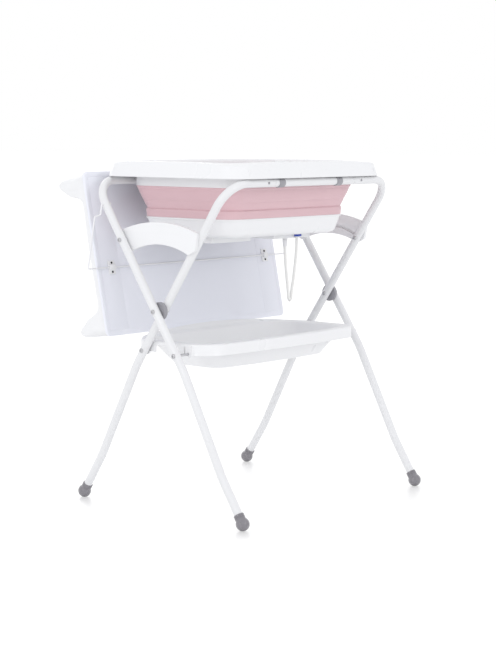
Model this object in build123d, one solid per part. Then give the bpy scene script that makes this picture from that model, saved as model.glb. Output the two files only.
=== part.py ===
from build123d import *
import os
from math import asin, atan2, cos, degrees, hypot, pi, radians, sin, tan

# Folding changing table with a collapsible bathtub on two crossed tube frames.
# Millimetres. +Z is up, X runs along the tub, -Y is the front long side.
# The pieces are modelled with the frames crossing at Y = 0. The saved origin is on the floor,
# under the middle of the whole table's length and depth.

# Crossed tube frames
rail_height = 975.0
rail_half_spacing = 246.5
pivot_height = 600.0
inner_half_width = 388.0
frame_step = 36.0
tube_diameter = 25.0
tube_wall = 1.5
rail_bend_radius = 80.0
rail_joint_inset = 198.0
swage_length = 66.0
knee_below_pivot = 166.0
ankle_height = 142.0
ankle_reach = 257.0
foot_reach = 335.0
leg_bend_radius = 450.0

# Ball feet
ball_diameter = 40.0
ball_flat_depth = 0.5
foot_collar_diameter = 31.0
foot_collar_length = 30.0
foot_edge_radius = 2.0
tube_end_above_ball_middle = 4.0

# Bolts, pins and rivets
bolt_diameter = 8.0
bolt_head_diameter = 14.0
bolt_head_height = 4.0
bolt_head_edge = 1.6
guide_bolt_diameter = 6.0
snap_button_diameter = 7.0
snap_button_stand = 2.5
running_clearance = 0.08
moving_gap = 0.3
side_gap = 0.5

# Pivot spacers and fold guides
pivot_disc_diameter = 54.0
pivot_disc_edge = 1.5
guide_pin_from_pivot = 222.0
guide_bolt_from_pivot = 243.5
guide_half_length = 150.0
guide_shoulder_rise = 232.0
guide_crown_rise = 260.0
guide_tip_half_length = 140.0
guide_tip_rise = 182.0
guide_toe_half_length = 114.0
guide_toe_rise = 169.0
guide_arch_rise = 195.0
guide_corner_radius = 9.0
guide_face_edge = 1.2
guide_groove_depth = 6.2
guide_pin_reach = 5.6
fold_travel_degrees = 58.0

# Storage tray
tray_side_gap = 1.0
tray_mid_half_width = 172.0
tray_end_half_width = 150.0
tray_corner_radius = 80.0
tray_rim_below_pivot = 93.0
tray_skirt_height = 34.0
tray_wall = 3.0
tray_flange_width = 26.0
tray_depth = 83.0
tray_floor_inset = 112.5
tray_floor_half_width = 108.0
tray_floor_bow = 12.0
tray_floor_corner_radius = 48.0
tray_lip_half_length = 340.0
tray_lip_rise = 17.0
tray_pin_below_rim = 30.0
tray_lug_radius = 13.0
tray_end_wall = 4.0
tray_arch_half_width = 46.0
tray_arch_below_rim = 11.0
tray_slot_growth = 5.0
tray_swing_ratio = 0.5

# Bathtub rim, folding wall and base
tub_offset_x = -10.0
tub_offset_y = 10.0
rim_above_rail_middle = 59.0
rim_half_length = 362.0
rim_overhang = 28.5
rim_corner_radius = 80.0
rim_flare = 12.0
rim_wall = 3.5
rim_top_edge = 2.5
tub_half_length = 305.0
tub_rail_gap = 27.0
tub_corner_radius = 64.0
rim_inner_wall_depth = 74.0
saddle_rib_thickness = 4.0
saddle_rib_places = (-300.0, -215.0, -50.0, 50.0, 215.0, 300.0)
rim_stop_length = 36.0
rim_stop_width = 14.0
rim_stop_height = 4.0
rim_stop_x = -135.0
fold_wall = 3.0
ridge_end_inset = 23.0
ridge_side_inset = 28.0
ridge_drop = 68.0
ridge_step = 2.5
bellows_height = 92.0
base_end_step = 1.0
base_side_step = 2.0
base_end_draft = 15.0
base_side_draft = 14.0
base_corner_radius = 58.0
base_height = 57.0
base_wall = 3.0
base_bottom_edge = 16.0
base_inner_edge = 12.0
foot_plate_inset = 123.0
foot_plate_length = 180.0
foot_plate_side_inset = 97.0
foot_plate_height = 18.0
foot_plate_edge = 4.0

# Drain, plug, hose and hose clip
drain_x = 129.0
drain_y = -35.0
drain_bore = 16.0
spout_flange_diameter = 34.0
spout_flange_height = 4.0
spout_neck_diameter = 20.0
spout_neck_height = 12.0
plug_head_diameter = 30.0
plug_head_height = 5.0
plug_stem_length = 9.0
plug_clearance = 0.4
hose_diameter = 9.5
spout_hole_gap = 4.0
hose_clip_from_middle = 18.0
hose_clip_length = 22.0
hose_clip_width = 14.0
hose_clip_height = 10.0

# Hooks on the front rail
rail_hook_left_inset = 228.0
rail_hook_right_inset = 273.0
rail_hook_plate_length = 68.0
rail_hook_strap_width = 25.0
rail_hook_wall = 2.0
rail_hook_plate_width = 16.0

# Changing board and its wire arm
board_half_length = 420.0
board_width = 500.0
board_edge_inside_rail = 46.5
board_edge_below_rail = 464.0
board_lean_degrees = 11.65
board_thickness = 8.0
board_corner_radius = 16.0
mat_inset = 2.0
mat_floor_thickness = 28.0
mat_floor_crown = 5.0
bolster_height = 120.0
bolster_width = 90.0
bolster_top_width = 26.0
bolster_outer_lean = 8.0
bolster_dome = 5.0
bolster_foot = 14.0
mat_end_draw = 5.0
mat_end_length = 30.0
wire_diameter = 5.0
wire_pivot_below_rail = 81.8
wire_run_from_board_edge = 206.0
wire_standoff = 5.0
wire_side_clearance = 27.5
wire_neck_gap = 2.0
wire_bend_radius = 9.0
wire_neck_length = 32.0
wire_jog_length = 37.0
wire_cap_diameter = 13.0
wire_cap_length = 5.0
wire_clip_places = (-361.0, 361.0)
wire_clip_length = 28.0
wire_clip_width = 42.0
wire_clip_flange = 3.0
wire_clip_block_length = 22.0
wire_clip_block_width = 15.0
wire_clip_edge = 1.5
clip_screw_spacing = 28.0
clip_screw_diameter = 6.5
clip_screw_height = 1.8
use_clearance = 1.0

overrun = 2.0

# Places that follow from the sizes above
outer_half_width = inner_half_width + frame_step
rail_joint_from_middle = inner_half_width - rail_joint_inset
tube_radius = tube_diameter / 2
tube_bore = tube_diameter - 2 * tube_wall
bolt_radius = bolt_diameter / 2
rail_rise = rail_height - pivot_height
upper_leg_length = hypot(rail_half_spacing, rail_rise)
lean_y_share = rail_half_spacing / upper_leg_length
lean_z_share = rail_rise / upper_leg_length
knee_height = pivot_height - knee_below_pivot
knee_reach = knee_below_pivot * rail_half_spacing / rail_rise
inner_face = inner_half_width - tube_radius
rail_hook_places = (rail_hook_left_inset - inner_half_width, inner_half_width - rail_hook_right_inset)
inner_outside = inner_half_width + tube_radius
outer_face = outer_half_width - tube_radius
outer_outside = outer_half_width + tube_radius
tray_half_length = inner_face - tray_side_gap
tray_floor_half_length = tray_half_length - tray_floor_inset
tray_rim_height = pivot_height - tray_rim_below_pivot
tray_pin_height = tray_rim_height - tray_pin_below_rim
tray_arch_height = tray_rim_height - tray_arch_below_rim
tray_pin_y = (pivot_height - tray_pin_height) * rail_half_spacing / rail_rise
rim_top_height = rail_height + rim_above_rail_middle
rim_half_width = rail_half_spacing + rim_overhang
tub_half_width = rail_half_spacing - tube_radius - tub_rail_gap
ridge_half_length = tub_half_length - ridge_end_inset
ridge_half_width = tub_half_width - ridge_side_inset
base_top_half_length = ridge_half_length + base_end_step
base_top_half_width = ridge_half_width + base_side_step
base_bottom_half_length = base_top_half_length - base_end_draft
base_bottom_half_width = base_top_half_width - base_side_draft
base_top_height = rim_top_height - rim_inner_wall_depth - bellows_height
base_bottom_height = base_top_height - base_height
foot_plate_middle_x = base_bottom_half_length - foot_plate_inset
foot_plate_half_width = base_bottom_half_width - foot_plate_side_inset
hose_clip_x = tub_offset_x + foot_plate_middle_x + hose_clip_from_middle
hose_clip_y = tub_offset_y - foot_plate_half_width - hose_clip_width / 2
board_bottom_y = rail_half_spacing - board_edge_inside_rail
board_bottom_height = rail_height - board_edge_below_rail
wire_half_width = outer_outside + wire_side_clearance
board_up_y = sin(radians(board_lean_degrees))
board_up_z = cos(radians(board_lean_degrees))
pivot_to_bolt_y = guide_bolt_from_pivot * lean_y_share
pivot_to_bolt_z = guide_bolt_from_pivot * lean_z_share


def solids_of(*shapes):
    """Every solid of one sub-part, in one list."""
    return [solid for shape in shapes for solid in shape.solids()]


def middle_y(pieces):
    """Y of the middle of the whole table's depth."""
    boxes = [solid.bounding_box() for solids in pieces.values() for solid in solids]
    return (min(box.min.Y for box in boxes) + max(box.max.Y for box in boxes)) / 2


def save(name, solids, shift_y):
    """Write one sub-part to its own file, moved to the saved origin."""
    moved = [Pos(0, shift_y, 0) * solid for solid in solids]
    whole = moved[0] if len(moved) == 1 else Compound(children=moved)
    whole.label = name
    export_step(whole, f"parts/{name}.step")


def rod(diameter, from_x, to_x, y, z):
    """A round bar along X between two X places."""
    middle = (from_x + to_x) / 2
    return Pos(middle, y, z) * Rot(0, 90, 0) * Cylinder(diameter / 2, abs(to_x - from_x))


def mirrored(solid):
    """The same piece on the other end of the table."""
    return mirror(solid, about=Plane.YZ)


def domed_head(diameter, height, seat_x, y, z, outward):
    """A round bolt head whose flat side sits at seat_x and whose dome looks outward."""
    head = Cylinder(diameter / 2, height, align=(Align.CENTER, Align.CENTER, Align.MIN))
    head = fillet(head.edges().sort_by(Axis.Z)[-1], min(bolt_head_edge, height / 3))
    return Pos(seat_x, y, z) * Rot(0, 90 * outward, 0) * head


def swept_tube(path, diameter, wall):
    """A hollow tube of constant section along a path."""
    section = Circle(diameter / 2) - Circle(diameter / 2 - wall)
    return sweep(Plane(origin=path @ 0, z_dir=path % 0) * section, path=path)


# Frame tubes
def foot_middle(half_width, foot_side):
    """Middle of the ball foot on the +X end of a frame."""
    return Vector(half_width, foot_side * foot_reach, ball_diameter / 2 - ball_flat_depth)


def foot_direction(half_width, foot_side):
    """Direction of the leg's last run, pointing up out of the ball."""
    ankle = Vector(half_width, foot_side * ankle_reach, ankle_height)
    return (ankle - foot_middle(half_width, foot_side)).normalized()


def leg_tube(half_width, foot_side, bores):
    """One leg at +X: from the rail joint, round the top bend and down to its foot."""
    rail_y = -foot_side * rail_half_spacing
    foot = foot_middle(half_width, foot_side)
    end = foot + foot_direction(half_width, foot_side) * tube_end_above_ball_middle
    path = FilletPolyline(
        (rail_joint_from_middle, rail_y, rail_height),
        (half_width, rail_y, rail_height),
        (half_width, foot_side * knee_reach, knee_height),
        (half_width, foot_side * ankle_reach, ankle_height),
        (end.X, end.Y, end.Z),
        radius=[rail_bend_radius, leg_bend_radius, leg_bend_radius],
    )
    leg = swept_tube(path, tube_diameter, tube_wall)
    reach = tube_radius + overrun
    for y, z, diameter in bores:
        leg -= rod(diameter, half_width - reach, half_width + reach, y, z)
    return leg


def rail_tube(rail_y):
    """Straight top rail with a necked end that plugs into each leg."""
    path = Line((-rail_joint_from_middle, rail_y, rail_height), (rail_joint_from_middle, rail_y, rail_height))
    rail = swept_tube(path, tube_diameter, tube_wall)
    for side in (-1, 1):
        start = side * (rail_joint_from_middle - swage_length)
        end = side * (rail_joint_from_middle + swage_length)
        neck = rod(tube_bore, start, end, rail_y, rail_height)
        neck -= rod(tube_bore - 2 * tube_wall, start - side, end + side, rail_y, rail_height)
        rail += neck
    return rail


def snap_buttons(rail_y, side_y):
    """Spring buttons that stand out of the legs beside each rail joint."""
    place_x = rail_joint_from_middle + swage_length / 2
    root = rail_y + side_y * (tube_radius - tube_wall)
    length = tube_wall + snap_button_stand
    button = Cylinder(snap_button_diameter / 2, length, align=(Align.CENTER, Align.CENTER, Align.MIN))
    button = fillet(button.edges().sort_by(Axis.Z)[-1], snap_button_stand / 2)
    button = Pos(place_x, root, rail_height) * Rot(-90 * side_y, 0, 0) * button
    return [button, mirrored(button)]


def button_bore(leg, rail_y, side_y):
    """Cut the hole in a leg that its spring button stands out of."""
    place_x = rail_joint_from_middle + swage_length / 2
    cutter = Rot(90, 0, 0) * Cylinder(snap_button_diameter / 2, tube_radius)
    return leg - Pos(place_x, rail_y + side_y * tube_radius, rail_height) * cutter


def ball_foot(half_width, foot_side):
    """Soft ball foot with a collar round the tube end."""
    middle = foot_middle(half_width, foot_side)
    up = foot_direction(half_width, foot_side)
    collar = Cylinder(foot_collar_diameter / 2, foot_collar_length,
                      align=(Align.CENTER, Align.CENTER, Align.MIN))
    collar = fillet(collar.edges().sort_by(Axis.Z)[-1], foot_edge_radius)
    foot = Pos(middle.X, middle.Y, middle.Z) * Sphere(ball_diameter / 2)
    foot += Plane(origin=middle, z_dir=up) * collar
    seat = Plane(origin=middle + up * tube_end_above_ball_middle, z_dir=up)
    foot -= seat * Cylinder(
        tube_radius, foot_collar_length, align=(Align.CENTER, Align.CENTER, Align.MIN)
    )
    below = Box(ball_diameter, ball_diameter, ball_diameter, align=(Align.CENTER, Align.CENTER, Align.MAX))
    return foot - Pos(middle.X, middle.Y, 0) * below


# Bolts between the frames
def cross_bolt(diameter, y, z, shank_from, shank_to, heads):
    """A bolt along X at the +X end; heads lists (seat_x, outward, diameter)."""
    bolt = rod(diameter, shank_from, shank_to, y, z)
    for seat_x, outward, head_diameter in heads:
        bolt += domed_head(head_diameter, bolt_head_height, seat_x, y, z, outward)
    return [bolt, mirrored(bolt)]


def pivot_bolts():
    """Main pivots of the two frames."""
    nut_seat = inner_face - moving_gap
    heads = [(outer_outside, 1, bolt_head_diameter), (nut_seat, -1, bolt_head_diameter)]
    return cross_bolt(bolt_diameter, 0, pivot_height, nut_seat, outer_outside, heads)


def pivot_disc():
    """Round spacer between the frames at the pivot."""
    from_x = inner_outside + moving_gap
    to_x = outer_face
    disc = rod(pivot_disc_diameter, from_x, to_x, 0, pivot_height)
    disc = chamfer(disc.edges().filter_by(GeomType.CIRCLE), pivot_disc_edge)
    return disc - rod(bolt_diameter, from_x - overrun, to_x + overrun, 0, pivot_height)


def guide_bolts():
    """Bolts that hold the fold guides on the outer legs."""
    y = pivot_to_bolt_y
    z = pivot_height + pivot_to_bolt_z
    heads = [(outer_outside, 1, bolt_head_diameter)]
    shank_end = outer_face - moving_gap - guide_groove_depth / 2
    return cross_bolt(guide_bolt_diameter, y, z, shank_end, outer_outside, heads)


def guide_pins():
    """Pins on the inner legs that run in the grooves of the fold guides."""
    y = -guide_pin_from_pivot * lean_y_share
    z = pivot_height + guide_pin_from_pivot * lean_z_share
    heads = [(inner_face, -1, bolt_head_diameter)]
    return cross_bolt(bolt_diameter, y, z, inner_face, inner_outside + guide_pin_reach, heads)


def tray_hinge_bolts():
    """Bolts through the inner legs that the tray swings on."""
    nut_seat = tray_half_length - tray_end_wall - moving_gap
    heads = [(inner_outside, 1, bolt_head_diameter), (nut_seat, -1, bolt_head_diameter)]
    return cross_bolt(bolt_diameter, tray_pin_y, tray_pin_height, nut_seat, inner_outside, heads)


def tray_hook_bolts():
    """Bolts through the outer legs that the tray's open hooks drop over."""
    nut_seat = tray_half_length - tray_end_wall - moving_gap
    heads = [(outer_outside, 1, bolt_head_diameter), (nut_seat, -1, bolt_head_diameter)]
    return cross_bolt(bolt_diameter, -tray_pin_y, tray_pin_height, nut_seat, outer_outside, heads)


def fold_guide():
    """Banana-shaped plate at +X; the inner leg's pin runs in the arc groove on its inner face."""
    right = [
        (guide_half_length, pivot_height + guide_shoulder_rise),
        (guide_tip_half_length, pivot_height + guide_tip_rise),
        (guide_toe_half_length, pivot_height + guide_toe_rise),
    ]
    left = [(-y, z) for y, z in right]
    top = ThreePointArc(left[0], (0, pivot_height + guide_crown_rise), right[0])
    ends = [Line(right[0], right[1]), Line(right[1], right[2]),
            Line(left[2], left[1]), Line(left[1], left[0])]
    arch = ThreePointArc(right[2], (0, pivot_height + guide_arch_rise), left[2])
    outline = make_face([top, arch, *ends])
    outline = fillet(outline.vertices(), guide_corner_radius)
    from_x = inner_outside + side_gap
    to_x = outer_face - moving_gap
    plate = extrude(Plane.YZ.offset(from_x) * outline, to_x - from_x)
    plate = chamfer(plate.faces().sort_by(Axis.X)[-1].edges(), guide_face_edge)
    open_angle = 90 + degrees(atan2(rail_half_spacing, rail_rise))
    run = CenterArc((0, pivot_height), guide_pin_from_pivot, open_angle, -fold_travel_degrees)
    groove = SlotArc(run, bolt_diameter + 2 * moving_gap)
    plate -= extrude(Plane.YZ.offset(from_x) * groove, guide_groove_depth)
    bolt_y = pivot_to_bolt_y
    bolt_z = pivot_height + pivot_to_bolt_z
    bolt_end = outer_face - moving_gap - guide_groove_depth / 2
    return plate - rod(guide_bolt_diameter, bolt_end, to_x + overrun, bolt_y, bolt_z)


def rail_hook(place_x):
    """Grey hook over the front rail: a flat plate on top and a strap round the front at its right end."""
    outer = rod(
        tube_diameter + 2 * rail_hook_wall,
        place_x - rail_hook_strap_width / 2,
        place_x + rail_hook_strap_width / 2,
        -rail_half_spacing,
        rail_height,
    )
    outer -= rod(tube_diameter, place_x - rail_hook_strap_width, place_x + rail_hook_strap_width,
                 -rail_half_spacing, rail_height)
    half = tube_diameter + rail_hook_wall
    keep = Box(rail_hook_strap_width, half, 2 * half, align=(Align.CENTER, Align.MAX, Align.CENTER))
    strap = outer & (Pos(place_x, -rail_half_spacing + rail_hook_wall, rail_height) * keep)
    plate = Box(rail_hook_plate_length, rail_hook_plate_width, rail_hook_wall,
                align=(Align.CENTER, Align.CENTER, Align.MIN))
    plate_x = place_x + (rail_hook_strap_width - rail_hook_plate_length) / 2
    plate = Pos(plate_x, -rail_half_spacing, rail_height + tube_radius) * plate
    return plate + strap


# Storage tray
def bowed_outline(half_length, mid_half_width, end_half_width, corner_radius):
    """Rounded rectangle whose long sides bow outward."""
    front = ThreePointArc((-half_length, -end_half_width), (0, -mid_half_width),
                          (half_length, -end_half_width))
    back = ThreePointArc((half_length, end_half_width), (0, mid_half_width), (-half_length, end_half_width))
    left = Line((-half_length, end_half_width), (-half_length, -end_half_width))
    right = Line((half_length, -end_half_width), (half_length, end_half_width))
    face = make_face([front, right, back, left])
    return fillet(face.vertices(), corner_radius)


def tray_slot():
    """Mouth under the hook, widened along the way that the bolt leaves it as the frame folds."""
    drop = pivot_height - tray_pin_height
    turn = 1 + tray_swing_ratio
    leave_y = drop
    leave_z = tray_pin_y - 2 * tray_pin_y * turn
    scale = (tray_lug_radius + bolt_diameter) / hypot(leave_y, leave_z)
    seat = Pos(-tray_pin_y, tray_pin_height) * Circle(bolt_radius + moving_gap)
    mouth_place = (-tray_pin_y + leave_y * scale, tray_pin_height + leave_z * scale)
    mouth = Pos(*mouth_place) * Circle(bolt_radius + moving_gap + tray_slot_growth)
    slot = make_hull(seat.edges() + mouth.edges())
    from_x = tray_half_length - tray_end_wall - overrun
    return extrude(Plane.YZ.offset(from_x) * slot, tray_end_wall + 2 * overrun)


def tray_lug(y):
    """Rounded ear of the end wall around a bolt."""
    from_x = tray_half_length - tray_end_wall
    ear = rod(2 * tray_lug_radius, from_x, tray_half_length, y, tray_pin_height)
    top = tray_rim_height - tray_wall
    box = Box(tray_end_wall, 2 * tray_lug_radius, top - tray_pin_height,
              align=(Align.MIN, Align.CENTER, Align.MIN))
    return ear + Pos(from_x, y, tray_pin_height) * box


def tray_lip(outline, inside):
    """Arched lip that stands on the back edge of the tray's flange."""
    low = tray_rim_height - tray_wall
    wall = extrude(Pos(0, 0, low) * (outline - inside), tray_wall + tray_lip_rise)
    foot = Line((tray_lip_half_length, low), (-tray_lip_half_length, low))
    sides = [
        Line((-tray_lip_half_length, low), (-tray_lip_half_length, tray_rim_height)),
        Line((tray_lip_half_length, tray_rim_height), (tray_lip_half_length, low)),
    ]
    arch = ThreePointArc((-tray_lip_half_length, tray_rim_height), (0, tray_rim_height + tray_lip_rise),
                         (tray_lip_half_length, tray_rim_height))
    face = Plane(origin=(0, 0, 0), x_dir=(1, 0, 0), z_dir=(0, -1, 0)) * make_face([foot, *sides, arch])
    return wall & extrude(face, -tray_mid_half_width)


def storage_tray():
    """Moulded basin with a bowed flange, a skirt, a back lip, and end ears for the bolts."""
    skirt_bottom = tray_rim_height - tray_skirt_height
    outline = bowed_outline(tray_half_length, tray_mid_half_width, tray_end_half_width, tray_corner_radius)
    inside = bowed_outline(tray_half_length - tray_wall, tray_mid_half_width - tray_wall,
                           tray_end_half_width - tray_wall, tray_corner_radius - tray_wall)
    cap = extrude(Pos(0, 0, skirt_bottom) * outline, tray_skirt_height)
    cap -= extrude(Pos(0, 0, skirt_bottom) * inside, tray_skirt_height - tray_wall)
    mouth = tray_flange_width
    floor = tray_rim_height - tray_depth

    def basin(shrink, bottom):
        top_face = bowed_outline(tray_half_length - mouth - shrink, tray_mid_half_width - mouth - shrink,
                                 tray_end_half_width - mouth - shrink, tray_corner_radius - mouth)
        floor_face = bowed_outline(tray_floor_half_length - shrink, tray_floor_half_width - shrink,
                                   tray_floor_half_width - tray_floor_bow - shrink, tray_floor_corner_radius)
        return loft([Pos(0, 0, bottom) * floor_face, Pos(0, 0, tray_rim_height) * top_face], ruled=True)

    tray = cap + tray_lip(outline, inside) + basin(0, floor)
    ear = tray_lug(tray_pin_y) + tray_lug(-tray_pin_y)
    tray = tray + ear + mirrored(ear)
    tray -= basin(tray_wall, floor + tray_wall)
    arch = Box(3 * tray_end_wall, 2 * tray_arch_half_width, tray_arch_height - skirt_bottom + tray_skirt_height,
               align=(Align.CENTER, Align.CENTER, Align.MAX))
    bore = rod(bolt_diameter + 2 * running_clearance, tray_half_length - tray_end_wall - overrun,
               tray_half_length + overrun, tray_pin_y, tray_pin_height)
    cut = tray_slot() + bore + Pos(tray_half_length, 0, tray_arch_height) * arch
    return tray - cut - mirrored(cut)


# Bathtub
def tub_section(half_length, half_width, radius, z):
    """Rounded rectangle of the tub at one height."""
    return Pos(tub_offset_x, tub_offset_y, z) * RectangleRounded(2 * half_length, 2 * half_width, radius)


def tub_block(*levels):
    """Solid between rounded rectangles, each given as half length, half width, radius and height."""
    return loft([tub_section(*level) for level in levels], ruled=True)


def tub_rim():
    """White rim: flared skirt, flat top, inner wall and ribs that sit on the rails."""
    top = rim_top_height
    bottom = rail_height + tube_radius + moving_gap
    wall_bottom = top - rim_inner_wall_depth
    outside = tub_block(
        (rim_half_length, rim_half_width, rim_corner_radius, bottom),
        (rim_half_length - rim_flare, rim_half_width - rim_flare, rim_corner_radius - rim_flare, top),
    )
    outside = fillet(outside.faces().sort_by(Axis.Z)[-1].edges(), rim_top_edge)
    hollow = tub_block(
        (rim_half_length - rim_wall, rim_half_width - rim_wall, rim_corner_radius - rim_wall, bottom),
        (rim_half_length - rim_flare - rim_wall, rim_half_width - rim_flare - rim_wall,
         rim_corner_radius - rim_flare - rim_wall, top - rim_wall),
    )
    wall = tub_block(
        (tub_half_length, tub_half_width, tub_corner_radius, wall_bottom),
        (tub_half_length, tub_half_width, tub_corner_radius, top - rim_wall / 2),
    )
    ribs = []
    for place in saddle_rib_places:
        rib = Box(saddle_rib_thickness, 2 * rim_half_width, top - rim_wall / 2 - bottom,
                  align=(Align.CENTER, Align.CENTER, Align.MIN))
        ribs.append(Pos(tub_offset_x + place, tub_offset_y, bottom) * rib)
    rim = outside - hollow + wall
    for rib in ribs:
        rim += rib & outside
    bore = tub_block(
        (tub_half_length - rim_wall, tub_half_width - rim_wall, tub_corner_radius - rim_wall, wall_bottom - overrun),
        (tub_half_length - rim_wall, tub_half_width - rim_wall, tub_corner_radius - rim_wall, top + overrun),
    )
    stop = Box(rim_stop_length, rim_stop_width, 2 * rim_stop_height)
    stop_y = tub_offset_y - (rim_half_width + tub_half_width) / 2
    return rim - bore + Pos(rim_stop_x, stop_y, top) * stop


def tub_bellows():
    """Soft folding wall between rim and base."""
    top = rim_top_height - rim_inner_wall_depth
    ridge = top - ridge_drop
    bottom = base_top_height

    def skin(inset):
        upper = tub_block(
            (ridge_half_length - inset, ridge_half_width - inset, base_corner_radius - inset, ridge),
            (tub_half_length - inset, tub_half_width - inset, tub_corner_radius - inset, top),
        )
        lower = tub_block(
            (base_top_half_length - inset, base_top_half_width - inset, base_corner_radius - inset, bottom),
            (ridge_half_length + ridge_step - inset, ridge_half_width + ridge_step - inset,
             base_corner_radius - inset, ridge),
        )
        return upper + lower

    return skin(0) - skin(fold_wall)


def tub_base():
    """White tub bottom with rounded lower edges and the drain hole."""
    outside = tub_block(
        (base_bottom_half_length, base_bottom_half_width, base_corner_radius, base_bottom_height),
        (base_top_half_length, base_top_half_width, base_corner_radius, base_top_height),
    )
    outside = fillet(outside.faces().sort_by(Axis.Z)[0].edges(), base_bottom_edge)
    inside = tub_block(
        (base_bottom_half_length - base_wall, base_bottom_half_width - base_wall,
         base_corner_radius - base_wall, base_bottom_height + base_wall),
        (base_top_half_length - base_wall, base_top_half_width - base_wall,
         base_corner_radius - base_wall, base_top_height),
    )
    inside = fillet(inside.faces().sort_by(Axis.Z)[0].edges(), base_inner_edge)
    drain = Pos(drain_x, drain_y, base_bottom_height) * Cylinder(drain_bore / 2, base_height)
    return outside - inside - drain


def foot_plate(side):
    """Flat foot plate under the tub base; the right one leaves a hole round the drain spout."""
    plate = Box(foot_plate_length, 2 * foot_plate_half_width, foot_plate_height,
                align=(Align.CENTER, Align.CENTER, Align.MAX))
    plate = fillet(plate.edges().filter_by(Axis.Z), foot_plate_edge)
    plate = Pos(tub_offset_x + side * foot_plate_middle_x, tub_offset_y, base_bottom_height) * plate
    hole = Cylinder(spout_flange_diameter / 2 + spout_hole_gap, 2 * foot_plate_height + overrun)
    return plate - Pos(drain_x, drain_y, base_bottom_height) * hole


def drain_spout():
    """Round outlet under the base that the hose pushes onto."""
    flange = Cylinder(spout_flange_diameter / 2, spout_flange_height,
                      align=(Align.CENTER, Align.CENTER, Align.MAX))
    neck = Cylinder(spout_neck_diameter / 2, spout_neck_height,
                    align=(Align.CENTER, Align.CENTER, Align.MAX))
    spout = flange + Pos(0, 0, -spout_flange_height) * neck
    bore = Cylinder(drain_bore / 2, spout_flange_height + spout_neck_height / 2,
                    align=(Align.CENTER, Align.CENTER, Align.MAX))
    return Pos(drain_x, drain_y, base_bottom_height) * (spout - bore)


def drain_plug():
    """Plug that lifts out of the drain hole inside the tub."""
    head = Cylinder(plug_head_diameter / 2, plug_head_height, align=(Align.CENTER, Align.CENTER, Align.MIN))
    head = fillet(head.edges().sort_by(Axis.Z)[-1], plug_head_height / 3)
    stem = Cylinder(drain_bore / 2 - plug_clearance, plug_stem_length,
                    align=(Align.CENTER, Align.CENTER, Align.MAX))
    return Pos(drain_x, drain_y, base_bottom_height + base_wall + moving_gap) * (head + stem)


def hose_clip():
    """Blue clip in front of the right foot plate that holds the free end of the hose."""
    clip = Box(hose_clip_length, hose_clip_width, hose_clip_height,
               align=(Align.CENTER, Align.CENTER, Align.MAX))
    front = clip.faces().sort_by(Axis.Y)[0]
    clip = fillet(front.edges().filter_by(Axis.Z), foot_plate_edge)
    return Pos(hose_clip_x, hose_clip_y, base_bottom_height) * clip


hose_points = [
    (129.0, -35.0, 795.0),
    (129.0, -35.0, 768.0),
    (127.5, -38.0, 725.0),
    (129.0, -42.0, 680.0),
    (131.0, -46.0, 640.0),
    (133.8, -47.3, 605.8),
    (136.8, -46.1, 600.2),
    (142.0, -44.1, 597.0),
    (148.0, -41.9, 597.0),
    (153.2, -39.9, 600.2),
    (156.2, -38.7, 605.8),
    (158.5, -42.0, 640.0),
    (159.0, -49.0, 680.0),
    (156.0, -57.0, 725.0),
    (151.0, -65.0, 765.0),
    (149.0, -67.0, 800.6),
]


def corner_radii(points):
    """Arc radius at each inner point, as large as 0.45 of the shorter run allows."""
    run_share = 0.45
    points = [Vector(*p) for p in points]
    radii = []
    for before, here, after in zip(points, points[1:], points[2:]):
        turn = radians((here - before).get_angle(after - here))
        shorter = min((here - before).length, (after - here).length)
        radii.append(run_share * shorter / tan(turn / 2))
    return radii


def drain_hose():
    """Limp hose that hangs in a loop from the spout to its clip."""
    radii = corner_radii(hose_points)
    path = FilletPolyline(*hose_points, radius=radii)
    hose = sweep(Plane(origin=path @ 0, z_dir=path % 0) * Circle(hose_diameter / 2), path=path)
    section = pi * hose_diameter ** 2 / 4
    print("hose radii", [round(r, 1) for r in radii], "length", round(path.length, 1),
          "volume share", round(hose.volume / (section * path.length), 4))
    return hose


# Changing board
board_plane = Plane(
    origin=(0, board_bottom_y, board_bottom_height),
    x_dir=(-1, 0, 0),
    z_dir=(0, board_up_z, -board_up_y),
)


def board_panel():
    """Stiff rounded board that the mat lies on."""
    sheet = RectangleRounded(2 * board_half_length, board_width, board_corner_radius)
    return board_plane * extrude(Pos(0, board_width / 2, 0) * sheet, board_thickness)


def mat_profile(x, draw):
    """End view of the mat: a crowned floor between two tall bolsters; draw shrinks it all round."""
    low = board_thickness
    floor = low + mat_floor_thickness - draw
    top = low + bolster_height - draw
    edge = mat_inset + draw
    shoulder = edge + bolster_outer_lean
    crest = shoulder + bolster_top_width
    foot = edge + bolster_width - 2 * draw
    dome = bolster_dome

    def side(mirror_edge):
        def at(u, v):
            return (board_width - u, v) if mirror_edge else (u, v)

        return [
            Line(at(edge, low), at(shoulder, top - dome)),
            ThreePointArc(at(shoulder, top - dome), at((shoulder + crest) / 2, top), at(crest, top - dome)),
            Line(at(crest, top - dome), at(foot - bolster_foot, floor + bolster_foot)),
            ThreePointArc(at(foot - bolster_foot, floor + bolster_foot),
                          at(foot - bolster_foot / 3, floor + bolster_foot / 3), at(foot + bolster_foot / 2, floor)),
        ]

    first = foot + bolster_foot / 2
    crown = ThreePointArc((first, floor), (board_width / 2, floor + mat_floor_crown), (board_width - first, floor))
    base = Line((edge, low), (board_width - edge, low))
    outline = make_face([*side(False), crown, *side(True), base])
    return Plane(origin=(x, 0, 0), x_dir=(0, 1, 0), z_dir=(1, 0, 0)) * outline


def changing_mat():
    """Padded mat with two raised long sides, drawn in at both ends."""
    end = board_half_length - mat_inset
    shoulder = end - mat_end_length
    sections = [(-end, mat_end_draw), (-shoulder, 0), (shoulder, 0), (end, mat_end_draw)]
    return board_plane * loft([mat_profile(x, draw) for x, draw in sections], ruled=True)


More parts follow.
